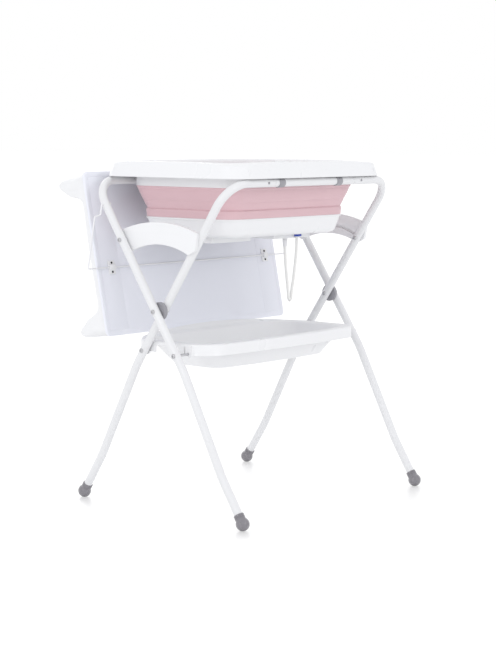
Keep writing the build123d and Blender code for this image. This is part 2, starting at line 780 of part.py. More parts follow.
def board_point(up, out):
    """Y and Z of a place on the board, up from its lower edge and out behind its underside."""
    y = board_bottom_y + up * board_up_y + out * board_up_z
    z = board_bottom_height + up * board_up_z - out * board_up_y
    return y, z


wire_pivot_from_pivot = upper_leg_length - wire_pivot_below_rail
wire_pivot_y = wire_pivot_from_pivot * lean_y_share
wire_pivot_z = pivot_height + wire_pivot_from_pivot * lean_z_share
wire_run_y, wire_run_z = board_point(wire_run_from_board_edge, -wire_standoff)


def wire_arm():
    """One bent wire: pivots in both outer legs, runs out and down, and carries the board."""
    arm_length = hypot(wire_run_y - wire_pivot_y, wire_run_z - wire_pivot_z)
    along_y = (wire_run_y - wire_pivot_y) / arm_length
    along_z = (wire_run_z - wire_pivot_z) / arm_length
    neck_x = outer_outside + wire_neck_gap + wire_diameter / 2
    end_x = outer_face - wire_cap_length / 2

    def at(x, down):
        return (x, wire_pivot_y + along_y * down, wire_pivot_z + along_z * down)

    half = [
        at(end_x, 0),
        at(neck_x, 0),
        at(neck_x, wire_neck_length),
        at(wire_half_width, wire_jog_length),
        at(wire_half_width, arm_length),
    ]
    points = half + [(-x, y, z) for x, y, z in reversed(half)]
    path = FilletPolyline(*points, radius=wire_bend_radius / 2)
    return sweep(Plane(origin=path @ 0, z_dir=path % 0) * Circle(wire_diameter / 2), path=path)


def wire_caps():
    """Push-on caps that keep the wire ends in the outer legs."""
    from_x = outer_face - wire_cap_length - moving_gap
    to_x = outer_face - moving_gap
    cap = rod(wire_cap_diameter, from_x, to_x, wire_pivot_y, wire_pivot_z)
    cap -= rod(wire_diameter, outer_face - wire_cap_length / 2, to_x + overrun, wire_pivot_y, wire_pivot_z)
    return [cap, mirrored(cap)]


def wire_clip(place_x):
    """Plastic clip, a flange with a block that holds the board on the wire and lets it turn there."""
    flange = Box(wire_clip_length, wire_clip_width, wire_clip_flange,
                 align=(Align.CENTER, Align.CENTER, Align.MAX))
    flange = fillet(flange.faces().sort_by(Axis.Z)[0].edges(), wire_clip_edge)
    block = Box(wire_clip_block_length, wire_clip_block_width, 2 * wire_standoff,
                align=(Align.CENTER, Align.CENTER, Align.MAX))
    block = fillet(block.faces().sort_by(Axis.Z)[0].edges(), wire_clip_edge)
    clip = board_plane * Pos(-place_x, wire_run_from_board_edge, 0) * (flange + block)
    return clip - rod(wire_diameter + 2 * running_clearance, place_x - wire_clip_length,
                      place_x + wire_clip_length, wire_run_y, wire_run_z)


def clip_screws():
    """Two round screw heads on each wire clip."""
    heads = []
    for place_x in wire_clip_places:
        for side in (-1, 1):
            head = Cylinder(clip_screw_diameter / 2, clip_screw_height,
                            align=(Align.CENTER, Align.CENTER, Align.MAX))
            head = fillet(head.edges().sort_by(Axis.Z)[0], clip_screw_height / 3)
            up = wire_run_from_board_edge + side * clip_screw_spacing / 2
            heads.append(board_plane * Pos(-place_x, up, -wire_clip_flange) * head)
    return heads


def print_motion(shift_y):
    """Joint places and angles that the sizes lead to, from the saved origin."""
    arm_length = hypot(wire_run_y - wire_pivot_y, wire_run_z - wire_pivot_z)
    under_board = rim_top_height + 2 * wire_standoff + use_clearance
    use_rise = under_board - wire_standoff - wire_pivot_z
    start = degrees(atan2(wire_run_z - wire_pivot_z, wire_run_y - wire_pivot_y))
    swing = 180 - degrees(asin(use_rise / arm_length)) - start
    flip = 90 + board_lean_degrees - swing
    print("frame pivot", round(shift_y, 3), pivot_height)
    print("wire pivot", round(shift_y + wire_pivot_y, 3), round(wire_pivot_z, 3))
    print("wire run", round(shift_y + wire_run_y, 3), round(wire_run_z, 3))
    print("arm swing", round(swing, 3), "board flip", round(flip, 3), "ratio", round(flip / swing, 5))
    print("tray hinge", round(shift_y + tray_pin_y, 3), tray_pin_height)


def frame_pieces():
    """Tubes, rails, buttons and feet of both frames."""
    bolt_bore = bolt_diameter + 2 * running_clearance
    pin_y = -guide_pin_from_pivot * lean_y_share
    pin_z = pivot_height + guide_pin_from_pivot * lean_z_share
    inner_bores = [
        (0, pivot_height, bolt_bore),
        (pin_y, pin_z, bolt_diameter),
        (tray_pin_y, tray_pin_height, bolt_diameter),
    ]
    outer_bores = [
        (0, pivot_height, bolt_diameter),
        (pivot_to_bolt_y, pivot_height + pivot_to_bolt_z, guide_bolt_diameter),
        (-tray_pin_y, tray_pin_height, bolt_diameter),
        (wire_pivot_y, wire_pivot_z, wire_diameter + 2 * running_clearance),
    ]
    frames = [
        ("inner", inner_half_width, 1, inner_bores, "front_rail"),
        ("outer", outer_half_width, -1, outer_bores, "back_rail"),
    ]
    pieces = {}
    for frame, half_width, foot_side, bores, rail in frames:
        rail_y = -foot_side * rail_half_spacing
        leg = button_bore(leg_tube(half_width, foot_side, bores), rail_y, -foot_side)
        foot = ball_foot(half_width, foot_side)
        pieces[f"{frame}_leg_right"] = solids_of(leg)
        pieces[f"{frame}_leg_left"] = solids_of(mirrored(leg))
        pieces[f"{frame}_foot_right"] = solids_of(foot)
        pieces[f"{frame}_foot_left"] = solids_of(mirrored(foot))
        pieces[rail] = solids_of(rail_tube(rail_y))
        pieces[f"{rail}_buttons"] = solids_of(*snap_buttons(rail_y, -foot_side))
    return pieces


def all_pieces():
    """Every sub-part by name, as a list of solids."""
    disc = pivot_disc()
    guide = fold_guide()
    pieces = frame_pieces()
    pieces["pivot_disc_right"] = solids_of(disc)
    pieces["pivot_disc_left"] = solids_of(mirrored(disc))
    pieces["pivot_bolts"] = solids_of(*pivot_bolts())
    pieces["fold_guide_right"] = solids_of(guide)
    pieces["fold_guide_left"] = solids_of(mirrored(guide))
    pieces["guide_bolts"] = solids_of(*guide_bolts())
    pieces["guide_pins"] = solids_of(*guide_pins())
    pieces["storage_tray"] = solids_of(storage_tray())
    pieces["tray_hinge_bolts"] = solids_of(*tray_hinge_bolts())
    pieces["tray_hook_bolts"] = solids_of(*tray_hook_bolts())
    pieces["tub_rim"] = solids_of(tub_rim())
    pieces["tub_bellows"] = solids_of(tub_bellows())
    pieces["tub_base"] = solids_of(tub_base())
    pieces["drain_spout"] = solids_of(drain_spout())
    pieces["drain_plug"] = solids_of(drain_plug())
    pieces["drain_hose"] = solids_of(drain_hose())
    pieces["hose_clip"] = solids_of(hose_clip())
    pieces["board_panel"] = solids_of(board_panel())
    pieces["changing_mat"] = solids_of(changing_mat())
    pieces["wire_arm"] = solids_of(wire_arm())
    pieces["wire_caps"] = solids_of(*wire_caps())
    pieces["clip_screws"] = solids_of(*clip_screws())
    for side, sign in (("left", 0), ("right", 1)):
        pieces[f"rail_hook_{side}"] = solids_of(rail_hook(rail_hook_places[sign]))
        pieces[f"wire_clip_{side}"] = solids_of(wire_clip(wire_clip_places[sign]))
        pieces[f"foot_plate_{side}"] = solids_of(foot_plate(2 * sign - 1))
    return pieces


def main():
    os.makedirs("parts", exist_ok=True)
    pieces = all_pieces()
    shift_y = -middle_y(pieces)
    for name, solids in pieces.items():
        save(name, solids, shift_y)
    print_motion(shift_y)


main()
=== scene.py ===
import bmesh
import bpy
import math
import numpy as np
from mathutils import Matrix, Vector


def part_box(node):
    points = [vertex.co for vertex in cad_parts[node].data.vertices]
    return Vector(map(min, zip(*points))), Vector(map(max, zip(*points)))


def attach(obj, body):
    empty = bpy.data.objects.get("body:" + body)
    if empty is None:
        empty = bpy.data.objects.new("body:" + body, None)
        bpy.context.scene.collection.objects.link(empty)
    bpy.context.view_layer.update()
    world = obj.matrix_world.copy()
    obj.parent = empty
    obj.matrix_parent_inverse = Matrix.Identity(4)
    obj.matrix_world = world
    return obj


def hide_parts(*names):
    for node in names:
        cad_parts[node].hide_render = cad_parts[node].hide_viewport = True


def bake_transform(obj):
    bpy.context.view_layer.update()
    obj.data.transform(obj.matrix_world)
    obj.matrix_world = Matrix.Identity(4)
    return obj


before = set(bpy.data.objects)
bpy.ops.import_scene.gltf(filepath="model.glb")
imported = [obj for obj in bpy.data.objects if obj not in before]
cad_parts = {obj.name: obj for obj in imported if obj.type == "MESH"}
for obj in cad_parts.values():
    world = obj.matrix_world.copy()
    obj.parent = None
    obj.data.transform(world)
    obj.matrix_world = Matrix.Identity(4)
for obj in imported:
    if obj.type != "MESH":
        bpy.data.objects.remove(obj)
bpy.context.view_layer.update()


# The two frames cross halfway along their legs; every Y below is measured from there.
low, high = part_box("pivot_bolts")
crossing_y = (low.y + high.y) / 2


# Camera and studio. The table is seen from its front left corner and stands on a plain
# white floor, in soft light from the left.
def stand(data, name):
    """An object in the scene for a mesh, curve, lamp or camera."""
    piece = bpy.data.objects.new(name, data)
    bpy.context.scene.collection.objects.link(piece)
    return piece


def turned_to(right, up, back):
    """Rotation whose columns are the three given directions."""
    return Matrix((right, up, back)).transposed()


camera_place = Vector((-4.1569, crossing_y - 3.4957, 1.1281))
camera_yaw = 0.8708
camera_pitch = -0.1143
camera_roll = 0.0044
camera_lens = 95.63

forward = Vector((
    math.sin(camera_yaw) * math.cos(camera_pitch),
    math.cos(camera_yaw) * math.cos(camera_pitch),
    math.sin(camera_pitch),
))
level_right = forward.cross(Vector((0, 0, 1))).normalized()
level_up = level_right.cross(forward)
right = level_right * math.cos(camera_roll) + level_up * math.sin(camera_roll)
camera_data = bpy.data.cameras.new("camera")
camera_data.lens = camera_lens
camera = stand(camera_data, "camera")
camera.matrix_world = (
    Matrix.Translation(camera_place) @ turned_to(right, right.cross(forward), -forward).to_4x4()
)
bpy.context.scene.camera = camera
bpy.context.scene.view_settings.view_transform = "Standard"


def added(tree, kind, **values):
    """A new node. A value with a capital sets the input of that name, any other sets the node."""
    node = tree.nodes.new(kind)
    for label, value in values.items():
        if label[0].isupper():
            node.inputs[label.replace("_", " ")].default_value = value
        else:
            setattr(node, label, value)
    return node


def wired(tree, *rows):
    """Link nodes; a row is a node and its output, then a node and its input."""
    for source, output, target, entry in rows:
        tree.links.new(source.outputs[output], target.inputs[entry])


table_middle = Vector((0, 0, 0.6))


def studio_lamp(name, place, size, power):
    """A square soft lamp that looks at the middle of the table."""
    data = bpy.data.lights.new(name, "AREA")
    data.size = size
    data.energy = power
    lamp = stand(data, name)
    lamp.location = place
    lamp.rotation_mode = "QUATERNION"
    lamp.rotation_quaternion = (table_middle - Vector(place)).to_track_quat("-Z", "Y")


studio_lamp("key_lamp", (-4.5, -0.6, 2.2), 1.0, 17)
studio_lamp("front_lamp", (-0.6, -4.6, 2.0), 0.9, 12)
studio_lamp("back_lamp", (1.6, 3.6, 2.6), 2.6, 22)


def seen_or_mirrored(tree):
    """Node whose output is 1 for camera, glossy and transmission rays, else 0."""
    path = added(tree, "ShaderNodeLightPath")
    either = added(tree, "ShaderNodeMath", operation="MAXIMUM")
    any_ray = added(tree, "ShaderNodeMath", operation="MAXIMUM")
    wired(tree, (path, "Is Camera Ray", either, 0), (path, "Is Glossy Ray", either, 1),
          (either, 0, any_ray, 0), (path, "Is Transmission Ray", any_ray, 1))
    return any_ray


world = bpy.data.worlds.new("studio")
world.use_nodes = True
bpy.context.scene.world = world
tree = world.node_tree
tree.nodes.clear()
ambient = added(tree, "ShaderNodeBackground", Color=(0.97, 0.98, 1, 1), Strength=1.02)
backdrop = added(tree, "ShaderNodeBackground", Color=(1, 1, 1, 1))
choice = added(tree, "ShaderNodeMixShader")
sky = added(tree, "ShaderNodeOutputWorld")
wired(tree, (seen_or_mirrored(tree), 0, choice, "Fac"), (ambient, 0, choice, 1),
      (backdrop, 0, choice, 2), (choice, 0, sky, "Surface"))

floor_size = 60
floor_shadow_share = 0.24
floor_polish_share = 0.42
floor_mesh = bpy.data.meshes.new("floor")
floor_corners = [(x * floor_size, y * floor_size, 0) for x, y in ((-1, -1), (1, -1), (1, 1), (-1, 1))]
floor_mesh.from_pydata(floor_corners, [], [(0, 1, 2, 3)])
floor = stand(floor_mesh, "floor")
floor_paint = bpy.data.materials.new("floor paint")
floor_paint.use_nodes = True
tree = floor_paint.node_tree
tree.nodes.clear()
place = added(tree, "ShaderNodeTexCoord")
distance = added(tree, "ShaderNodeVectorMath", operation="LENGTH")
glow_fade = added(tree, "ShaderNodeMapRange", interpolation_type="SMOOTHSTEP",
                  From_Min=0.55, From_Max=1.5, To_Min=1 - floor_shadow_share, To_Max=1)
polish_fade = added(tree, "ShaderNodeMapRange", interpolation_type="SMOOTHSTEP",
                    From_Min=0.58, From_Max=0.75, To_Min=floor_polish_share, To_Max=0)
seen = seen_or_mirrored(tree)
glow_share = added(tree, "ShaderNodeMath", operation="MULTIPLY")
polish_share = added(tree, "ShaderNodeMath", operation="MULTIPLY")
paper = added(tree, "ShaderNodeBsdfDiffuse", Color=(0.93, 0.93, 0.93, 1))
glow = added(tree, "ShaderNodeEmission", Strength=1.16)
mirror = added(tree, "ShaderNodeBsdfGlossy", Color=(1, 1, 1, 1), Roughness=0.36)
glowing = added(tree, "ShaderNodeMixShader")
polished = added(tree, "ShaderNodeMixShader")
surface = added(tree, "ShaderNodeOutputMaterial")
wired(tree, (place, "Object", distance, 0), (distance, "Value", glow_fade, "Value"),
      (distance, "Value", polish_fade, "Value"), (seen, 0, glow_share, 0), (seen, 0, polish_share, 0),
      (glow_fade, "Result", glow_share, 1), (polish_fade, "Result", polish_share, 1),
      (glow_share, 0, glowing, "Fac"), (paper, 0, glowing, 1), (glow, 0, glowing, 2),
      (polish_share, 0, polished, "Fac"), (glowing, 0, polished, 1), (mirror, 0, polished, 2),
      (polished, 0, surface, "Surface"))
floor_mesh.materials.append(floor_paint)


# Shared surface effects. Real moulded and painted pieces show a fine grain, faint handling
# smudges and hairline marks, so each finish below takes these three from one node group.
def group_socket(tree, label, kind, direction, value=None):
    """A named socket on a node group."""
    socket = tree.interface.new_socket(label, in_out=direction, socket_type="NodeSocket" + kind)
    if value is not None:
        socket.default_value = value


def made_surface_marks():
    """Node group with a grain height, a smudge mask and a hairline mask."""
    tree = bpy.data.node_groups.new("surface marks", "ShaderNodeTree")
    group_socket(tree, "Vector", "Vector", "INPUT")
    for label, value in (("Grain Scale", 900.0), ("Smudge Scale", 9.0), ("Hairline Scale", 60.0)):
        group_socket(tree, label, "Float", "INPUT", value)
    for label in ("Grain", "Smudge", "Hairline"):
        group_socket(tree, label, "Float", "OUTPUT")
    start = added(tree, "NodeGroupInput")
    end = added(tree, "NodeGroupOutput")
    grain = added(tree, "ShaderNodeTexNoise", Detail=3)
    smudge = added(tree, "ShaderNodeTexNoise", Detail=5, Distortion=0.6)
    stretch = added(tree, "ShaderNodeMapping", Rotation=(0.3, 0.5, 0.7), Scale=(1, 9, 1))
    hairline = added(tree, "ShaderNodeTexNoise", Detail=4)
    narrow = added(tree, "ShaderNodeMapRange", From_Min=0.62, From_Max=0.72)
    wired(tree, (start, "Vector", grain, "Vector"), (start, "Grain Scale", grain, "Scale"),
          (start, "Vector", smudge, "Vector"), (start, "Smudge Scale", smudge, "Scale"),
          (start, "Vector", stretch, "Vector"), (stretch, "Vector", hairline, "Vector"),
          (start, "Hairline Scale", hairline, "Scale"), (hairline, "Fac", narrow, "Value"),
          (grain, "Fac", end, "Grain"), (smudge, "Fac", end, "Smudge"), (narrow, "Result", end, "Hairline"))
    return tree


surface_marks = made_surface_marks()


def finish(name, colour, worn_colour, rough, grain_scale, grain_depth, metal=0.0, sheen=0.0,
           coat=0.0, smudge_scale=9.0, hairlines=0.0):
    """A material whose colour, gloss and relief come from the surface marks."""
    material = bpy.data.materials.new(name)
    material.use_nodes = True
    tree = material.node_tree
    shader = tree.nodes["Principled BSDF"]
    place = added(tree, "ShaderNodeTexCoord")
    marks = added(tree, "ShaderNodeGroup", node_tree=surface_marks,
                  Grain_Scale=grain_scale, Smudge_Scale=smudge_scale)
    paint = added(tree, "ShaderNodeMix", data_type="RGBA", A=(*colour, 1), B=(*worn_colour, 1))
    gloss = added(tree, "ShaderNodeMapRange", From_Min=0.3, From_Max=0.7,
                  To_Min=rough, To_Max=min(rough + 0.12, 1))
    relief = added(tree, "ShaderNodeBump", Strength=1, Distance=grain_depth)
    wired(tree, (place, "Object", marks, "Vector"), (marks, "Smudge", paint, "Factor"),
          (marks, "Smudge", gloss, "Value"), (paint, "Result", shader, "Base Color"),
          (gloss, "Result", shader, "Roughness"), (relief, "Normal", shader, "Normal"))
    if hairlines:
        cut = added(tree, "ShaderNodeMath", operation="MULTIPLY_ADD")
        cut.inputs[1].default_value = -hairlines
        wired(tree, (marks, "Hairline", cut, 0), (marks, "Grain", cut, 2), (cut, 0, relief, "Height"))
    else:
        wired(tree, (marks, "Grain", relief, "Height"))
    shader.inputs["Metallic"].default_value = metal
    shader.inputs["Sheen Weight"].default_value = sheen
    shader.inputs["Coat Weight"].default_value = coat
    return material


# Drain hose. A limp milky tube pushed onto the spout under the tub; it hangs in one long
# loop and its free end is held by a blue clip in front of the right foot plate.
def dressed(piece, body, material, slot, *nodes):
    """Give a finished piece its material, hide the CAD nodes it stands for and hang it on its body; the slot
    is not used.
    """
    piece.data.materials.clear()
    piece.data.materials.append(material)
    if nodes:
        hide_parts(*nodes)
    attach(piece, body)


hose_diameter = 0.0095
hose_route = [
    (0.129, -0.035, 0.795), (0.129, -0.035, 0.768), (0.1275, -0.038, 0.725), (0.129, -0.042, 0.680),
    (0.131, -0.046, 0.640), (0.1338, -0.0473, 0.6058), (0.1368, -0.0461, 0.6002), (0.142, -0.0441, 0.597),
    (0.148, -0.0419, 0.597), (0.1532, -0.0399, 0.6002), (0.1562, -0.0387, 0.6058), (0.1585, -0.042, 0.640),
    (0.159, -0.049, 0.680), (0.156, -0.057, 0.725), (0.151, -0.065, 0.765), (0.149, -0.067, 0.8006),
]
hose_curve = bpy.data.curves.new("drain_hose_tube", "CURVE")
hose_curve.dimensions = "3D"
hose_spline = hose_curve.splines.new("NURBS")
hose_spline.points.add(len(hose_route) - 1)
for point, (x, y, z) in zip(hose_spline.points, hose_route):
    point.co = (x, y + crossing_y, z, 1)
hose_spline.order_u = 3
hose_spline.use_endpoint_u = True
hose_spline.resolution_u = 10
hose_curve.bevel_depth = hose_diameter / 2
hose_curve.bevel_resolution = 6
hose_curve.use_fill_caps = True
hose = stand(hose_curve, "drain_hose_tube")

milky_vinyl = finish("milky vinyl", (0.92, 0.915, 0.89), (0.89, 0.885, 0.86), 0.28, 500, 0.00004,
                     smudge_scale=25)
vinyl_shader = milky_vinyl.node_tree.nodes["Principled BSDF"]
vinyl_shader.inputs["Subsurface Weight"].default_value = 0.2
vinyl_shader.inputs["Subsurface Radius"].default_value = (0.004, 0.004, 0.004)
dressed(hose, "tub_bottom", milky_vinyl, "hose", "drain_hose")


# Crossed frame tubes. Each leg is one 25 mm steel tube, bent at the top, the knee and the
# ankle and powder coated white; a straight rail plugs into the legs with a necked end.
def made_real(piece, name):
    """The piece with its modifiers, as a plain mesh object in its place."""
    bpy.context.view_layer.update()
    graph = bpy.context.evaluated_depsgraph_get()
    mesh = bpy.data.meshes.new_from_object(piece.evaluated_get(graph))
    bpy.data.objects.remove(piece)
    return stand(mesh, name)


def smoothed(mesh, sharp_degrees):
    """Shade a mesh smooth up to its sharp edges."""
    mesh.shade_smooth()
    mesh.set_sharp_from_angle(angle=math.radians(sharp_degrees))
    return mesh


def outward(mesh, sharp_degrees=38):
    """Join doubles, turn every face outwards and shade the mesh smooth."""
    work = bmesh.new()
    work.from_mesh(mesh)
    bmesh.ops.remove_doubles(work, verts=work.verts, dist=1e-6)
    bmesh.ops.recalc_face_normals(work, faces=work.faces)
    work.to_mesh(mesh)
    work.free()
    return smoothed(mesh, sharp_degrees)


def new_tree(name, *inputs):
    """A Geometry Nodes tree with a geometry line and named inputs, and its two end nodes."""
    tree = bpy.data.node_groups.new(name, "GeometryNodeTree")
    group_socket(tree, "Geometry", "Geometry", "INPUT")
    for label, kind, value in inputs:
        group_socket(tree, label, kind, "INPUT", value)
    group_socket(tree, "Geometry", "Geometry", "OUTPUT")
    return tree, added(tree, "NodeGroupInput"), added(tree, "NodeGroupOutput")


def ended(tree, start, last, output, end):
    """The tree closed off: its geometry made real and given the material."""
    real = added(tree, "GeometryNodeRealizeInstances")
    paint = added(tree, "GeometryNodeSetMaterial")
    wired(tree, (last, output, real, "Geometry"), (real, "Geometry", paint, "Geometry"),
          (start, "Material", paint, "Material"), (paint, "Geometry", end, "Geometry"))
    return tree


def grown(mesh, name, tree, **values):
    """The mesh run through a Geometry Nodes tree and made a plain mesh again."""
    host = stand(mesh, name + "_host")
    modifier = host.modifiers.new("shape", "NODES")
    modifier.node_group = tree
    for label, value in values.items():
        socket = tree.interface.items_tree[label.replace("_", " ")]
        modifier[socket.identifier] = value
    piece = made_real(host, name)
    outward(piece.data)
    return piece


def made_bent_tube():
    """Tree that sweeps a round section along a polyline whose corners have a bend radius."""
    tree, start, end = new_tree(
        "bent tube", ("Radius", "Float", 0.0125), ("Sides", "Int", 32), ("Bend Steps", "Int", 16),
        ("Material", "Material", None),
    )
    curve = added(tree, "GeometryNodeMeshToCurve")
    bend = added(tree, "GeometryNodeInputNamedAttribute", data_type="FLOAT", Name="bend")
    corners = added(tree, "GeometryNodeFilletCurve", mode="POLY", Limit_Radius=True)
    ring = added(tree, "GeometryNodeCurvePrimitiveCircle")
    tube = added(tree, "GeometryNodeCurveToMesh", Fill_Caps=True)
    wired(tree, (start, "Geometry", curve, "Mesh"), (curve, "Curve", corners, "Curve"),
          (start, "Bend Steps", corners, "Count"), (bend, "Attribute", corners, "Radius"),
          (start, "Sides", ring, "Resolution"), (start, "Radius", ring, "Radius"),
          (corners, "Curve", tube, "Curve"), (ring, "Curve", tube, "Profile Curve"))
    return ended(tree, start, tube, "Mesh", end)


bent_tube = made_bent_tube()


def route_mesh(name, *routes):
    """Polylines whose points each carry a bend radius."""
    points, edges, bends = [], [], []
    for route in routes:
        first = len(points)
        edges += [(first + i, first + i + 1) for i in range(len(route) - 1)]
        points += [(x, y + crossing_y, z) for x, y, z, bend in route]
        bends += [bend for x, y, z, bend in route]
    mesh = bpy.data.meshes.new(name)
    mesh.from_pydata(points, edges, [])
    mesh.attributes.new("bend", "FLOAT", "POINT").data.foreach_set("value", bends)
    return mesh


powder_coat = finish("white powder coat", (0.81, 0.81, 0.82), (0.785, 0.785, 0.795), 0.30, 700, 0.000005,
                     coat=0.15, hairlines=0.06)

inner_x, outer_x = 0.388, 0.424
sides = (("left", -1), ("right", 1))
both_frames = (
    ("inner", "inner_frame", inner_x, 1, "front_rail"), ("outer", "outer_frame", outer_x, -1, "back_rail"),
)
tube_radius = 0.0125
rail_height = 0.975
rail_reach = 0.2465
seam_x = 0.190
seam_gap = 0.0004
neck_radius = 0.0108
neck_half_length = 0.066
top_bend = 0.08
leg_bend = 0.45
knee_y, knee_z = 0.10912, 0.434
ankle_y, ankle_z = 0.257, 0.142
foot_y, foot_z = 0.335, 0.0195


def leg_route(x, foot_side, side):
    """Corner points of one leg from the rail joint to the ball foot."""
    return [
        (side * (seam_x + seam_gap), -foot_side * rail_reach, rail_height, 0),
        (side * x, -foot_side * rail_reach, rail_height, top_bend),
        (side * x, foot_side * knee_y, knee_z, leg_bend),
        (side * x, foot_side * ankle_y, ankle_z, leg_bend),
        (side * x, foot_side * foot_y, foot_z, 0),
    ]


for frame_name, body, x, foot_side, rail in both_frames:
    for side_name, side in sides:
        route = route_mesh("leg", leg_route(x, foot_side, side))
        leg = grown(route, f"{frame_name}_leg_{side_name}_tube", bent_tube, Radius=tube_radius,
                    Sides=36, Bend_Steps=18, Material=powder_coat)
        dressed(leg, body, powder_coat, "white_tube", f"{frame_name}_leg_{side_name}")
    rail_y = -foot_side * rail_reach
    rail_end = seam_x - seam_gap
    tube = grown(
        route_mesh("rail", [(-rail_end, rail_y, rail_height, 0), (rail_end, rail_y, rail_height, 0)]),
        rail + "_tube", bent_tube, Radius=tube_radius, Sides=36, Bend_Steps=1, Material=powder_coat)
    dressed(tube, body, powder_coat, "white_tube", rail)
    necks = grown(
        route_mesh("necks", *[
            [(side * (seam_x - neck_half_length), rail_y, rail_height, 0),
             (side * (seam_x + neck_half_length), rail_y, rail_height, 0)] for side in (-1, 1)]),
        rail + "_necks", bent_tube, Radius=neck_radius, Sides=24, Bend_Steps=1, Material=powder_coat)
    dressed(necks, body, powder_coat, "white_tube")


# Ball feet. Grey rubber balls with a ribbed collar, pushed over the leg ends; the floor has
# pressed a small flat on each.
def turned(profile, segments=48):
    """Mesh of a closed profile spun round Z; a row is radius, height and optional flat sides."""
    work = bmesh.new()
    rings = []
    for radius, height, *sides in profile:
        ring = []
        if radius == 0:
            ring = [work.verts.new((0, 0, height))] * segments
        else:
            for i in range(segments):
                angle = 2 * math.pi * i / segments
                reach = radius
                if sides:
                    part = math.pi / sides[0]
                    reach = radius * math.cos(part) / math.cos(angle % (2 * part) - part)
                ring.append(work.verts.new((reach * math.cos(angle), reach * math.sin(angle), height)))
        rings.append(ring)
    for lower, upper in zip(rings, rings[1:]):
        for i in range(segments):
            j = (i + 1) % segments
            corners = []
            for vertex in (lower[i], lower[j], upper[j], upper[i]):
                if vertex not in corners:
                    corners.append(vertex)
            if len(corners) > 2:
                work.faces.new(corners)
    mesh = bpy.data.meshes.new("turned")
    bmesh.ops.recalc_face_normals(work, faces=work.faces)
    work.to_mesh(mesh)
    work.free()
    return mesh


to_crossing = Matrix.Translation((0, crossing_y, 0))


def turned_at(profile, direction, place, segments=48):
    """A turned mesh stood at a place with its axis along a direction."""
    mesh = turned(profile, segments)
    turn = Vector(direction).to_track_quat("Z", "Y").to_matrix().to_4x4()
    mesh.transform(to_crossing @ Matrix.Translation(place) @ turn)
    return mesh


grey_rubber = finish("grey rubber", (0.19, 0.18, 0.20), (0.24, 0.23, 0.25), 0.22, 1400, 0.00001,
                     coat=0.6, smudge_scale=40)

ball_radius = 0.02
collar_radius = 0.0155
collar_top = 0.03
groove_depth = 0.0008
ball_steps = 14
ball_rows = []
collar_angle = math.asin(collar_radius / ball_radius)
for step in range(ball_steps + 1):
    angle = math.pi - (math.pi - collar_angle) * step / ball_steps
    ball_rows.append((ball_radius * math.sin(angle) if step else 0, ball_radius * math.cos(angle)))
groove_radius = collar_radius - groove_depth
foot_rows = ball_rows + [
    (collar_radius - 0.0003, 0.0136), (collar_radius, 0.0150), (collar_radius, 0.0185),
    (groove_radius, 0.0190), (groove_radius, 0.0198), (collar_radius, 0.0203), (collar_radius, 0.0232),
    (groove_radius, 0.0237), (groove_radius, 0.0245), (collar_radius, 0.0250),
    (collar_radius, 0.0282), (collar_radius - 0.0006, 0.0295), (collar_radius - 0.0018, collar_top),
    (tube_radius, collar_top), (tube_radius, 0.006), (0, 0.006),
]
for frame_name, body, x, foot_side, rail in both_frames:
    for side_name, side in sides:
        leg_lean = (0, foot_side * (ankle_y - foot_y), ankle_z - foot_z)
        foot_mesh = turned_at(foot_rows, leg_lean, (side * x, foot_side * foot_y, foot_z))
        for vertex in foot_mesh.vertices:
            vertex.co.z = max(vertex.co.z, 0)
        foot = stand(outward(foot_mesh, 50), f"{frame_name}_ball_foot_{side_name}")
        dressed(foot, body, grey_rubber, "grey_rubber", f"{frame_name}_foot_{side_name}")


# Bolts. Zinc plated button-head bolts with hex sockets cross the legs at the pivots, the
# fold guides and the tray; those of the pivots and the tray have a head at each end.
def made_fasteners():
    """Tree that stands one head on each point along its outward direction and adds the shanks."""
    tree, start, end = new_tree(
        "fasteners", ("Shank Radius", "Float", 0.004), ("Head", "Object", None),
        ("Material", "Material", None),
    )
    curve = added(tree, "GeometryNodeMeshToCurve")
    ring = added(tree, "GeometryNodeCurvePrimitiveCircle", Resolution=20)
    shank = added(tree, "GeometryNodeCurveToMesh", Fill_Caps=True)
    away = added(tree, "GeometryNodeInputNamedAttribute", data_type="FLOAT_VECTOR", Name="outward")
    align = added(tree, "FunctionNodeAlignRotationToVector", axis="Z")
    head = added(tree, "GeometryNodeObjectInfo")
    copies = added(tree, "GeometryNodeInstanceOnPoints")
    both = added(tree, "GeometryNodeJoinGeometry")
    wired(tree, (start, "Geometry", curve, "Mesh"), (start, "Shank Radius", ring, "Radius"),
          (curve, "Curve", shank, "Curve"), (ring, "Curve", shank, "Profile Curve"),
          (start, "Geometry", copies, "Points"), (start, "Head", head, "Object"),
          (head, "Geometry", copies, "Instance"), (away, "Attribute", align, "Vector"),
          (align, "Rotation", copies, "Rotation"), (shank, "Mesh", both, "Geometry"),
          (copies, "Instances", both, "Geometry"))
    return ended(tree, start, both, "Geometry", end)


fasteners = made_fasteners()


def seats_mesh(seats, shanks):
    """Points with an outward direction, and an edge for each shank between two of them."""
    mesh = bpy.data.meshes.new("seats")
    mesh.from_pydata([(x, y + crossing_y, z) for (x, y, z), away in seats], shanks, [])
    ways = [value for place, away in seats for value in away]
    mesh.attributes.new("outward", "FLOAT_VECTOR", "POINT").data.foreach_set("vector", ways)
    return mesh


def head_pattern(name, rows):
    """A head that the fasteners tree copies; it is removed after its last use."""
    return stand(outward(turned(rows, 36), 30), name)


def joined(*meshes):
    """One mesh from several, with doubles inside each left as they are."""
    work = bmesh.new()
    for mesh in meshes:
        work.from_mesh(mesh)
    whole = bpy.data.meshes.new("joined")
    work.to_mesh(whole)
    work.free()
    return whole


zinc = finish("zinc plate", (0.52, 0.52, 0.54), (0.58, 0.58, 0.60), 0.28, 900, 0.00004, metal=1.0,
              smudge_scale=120)

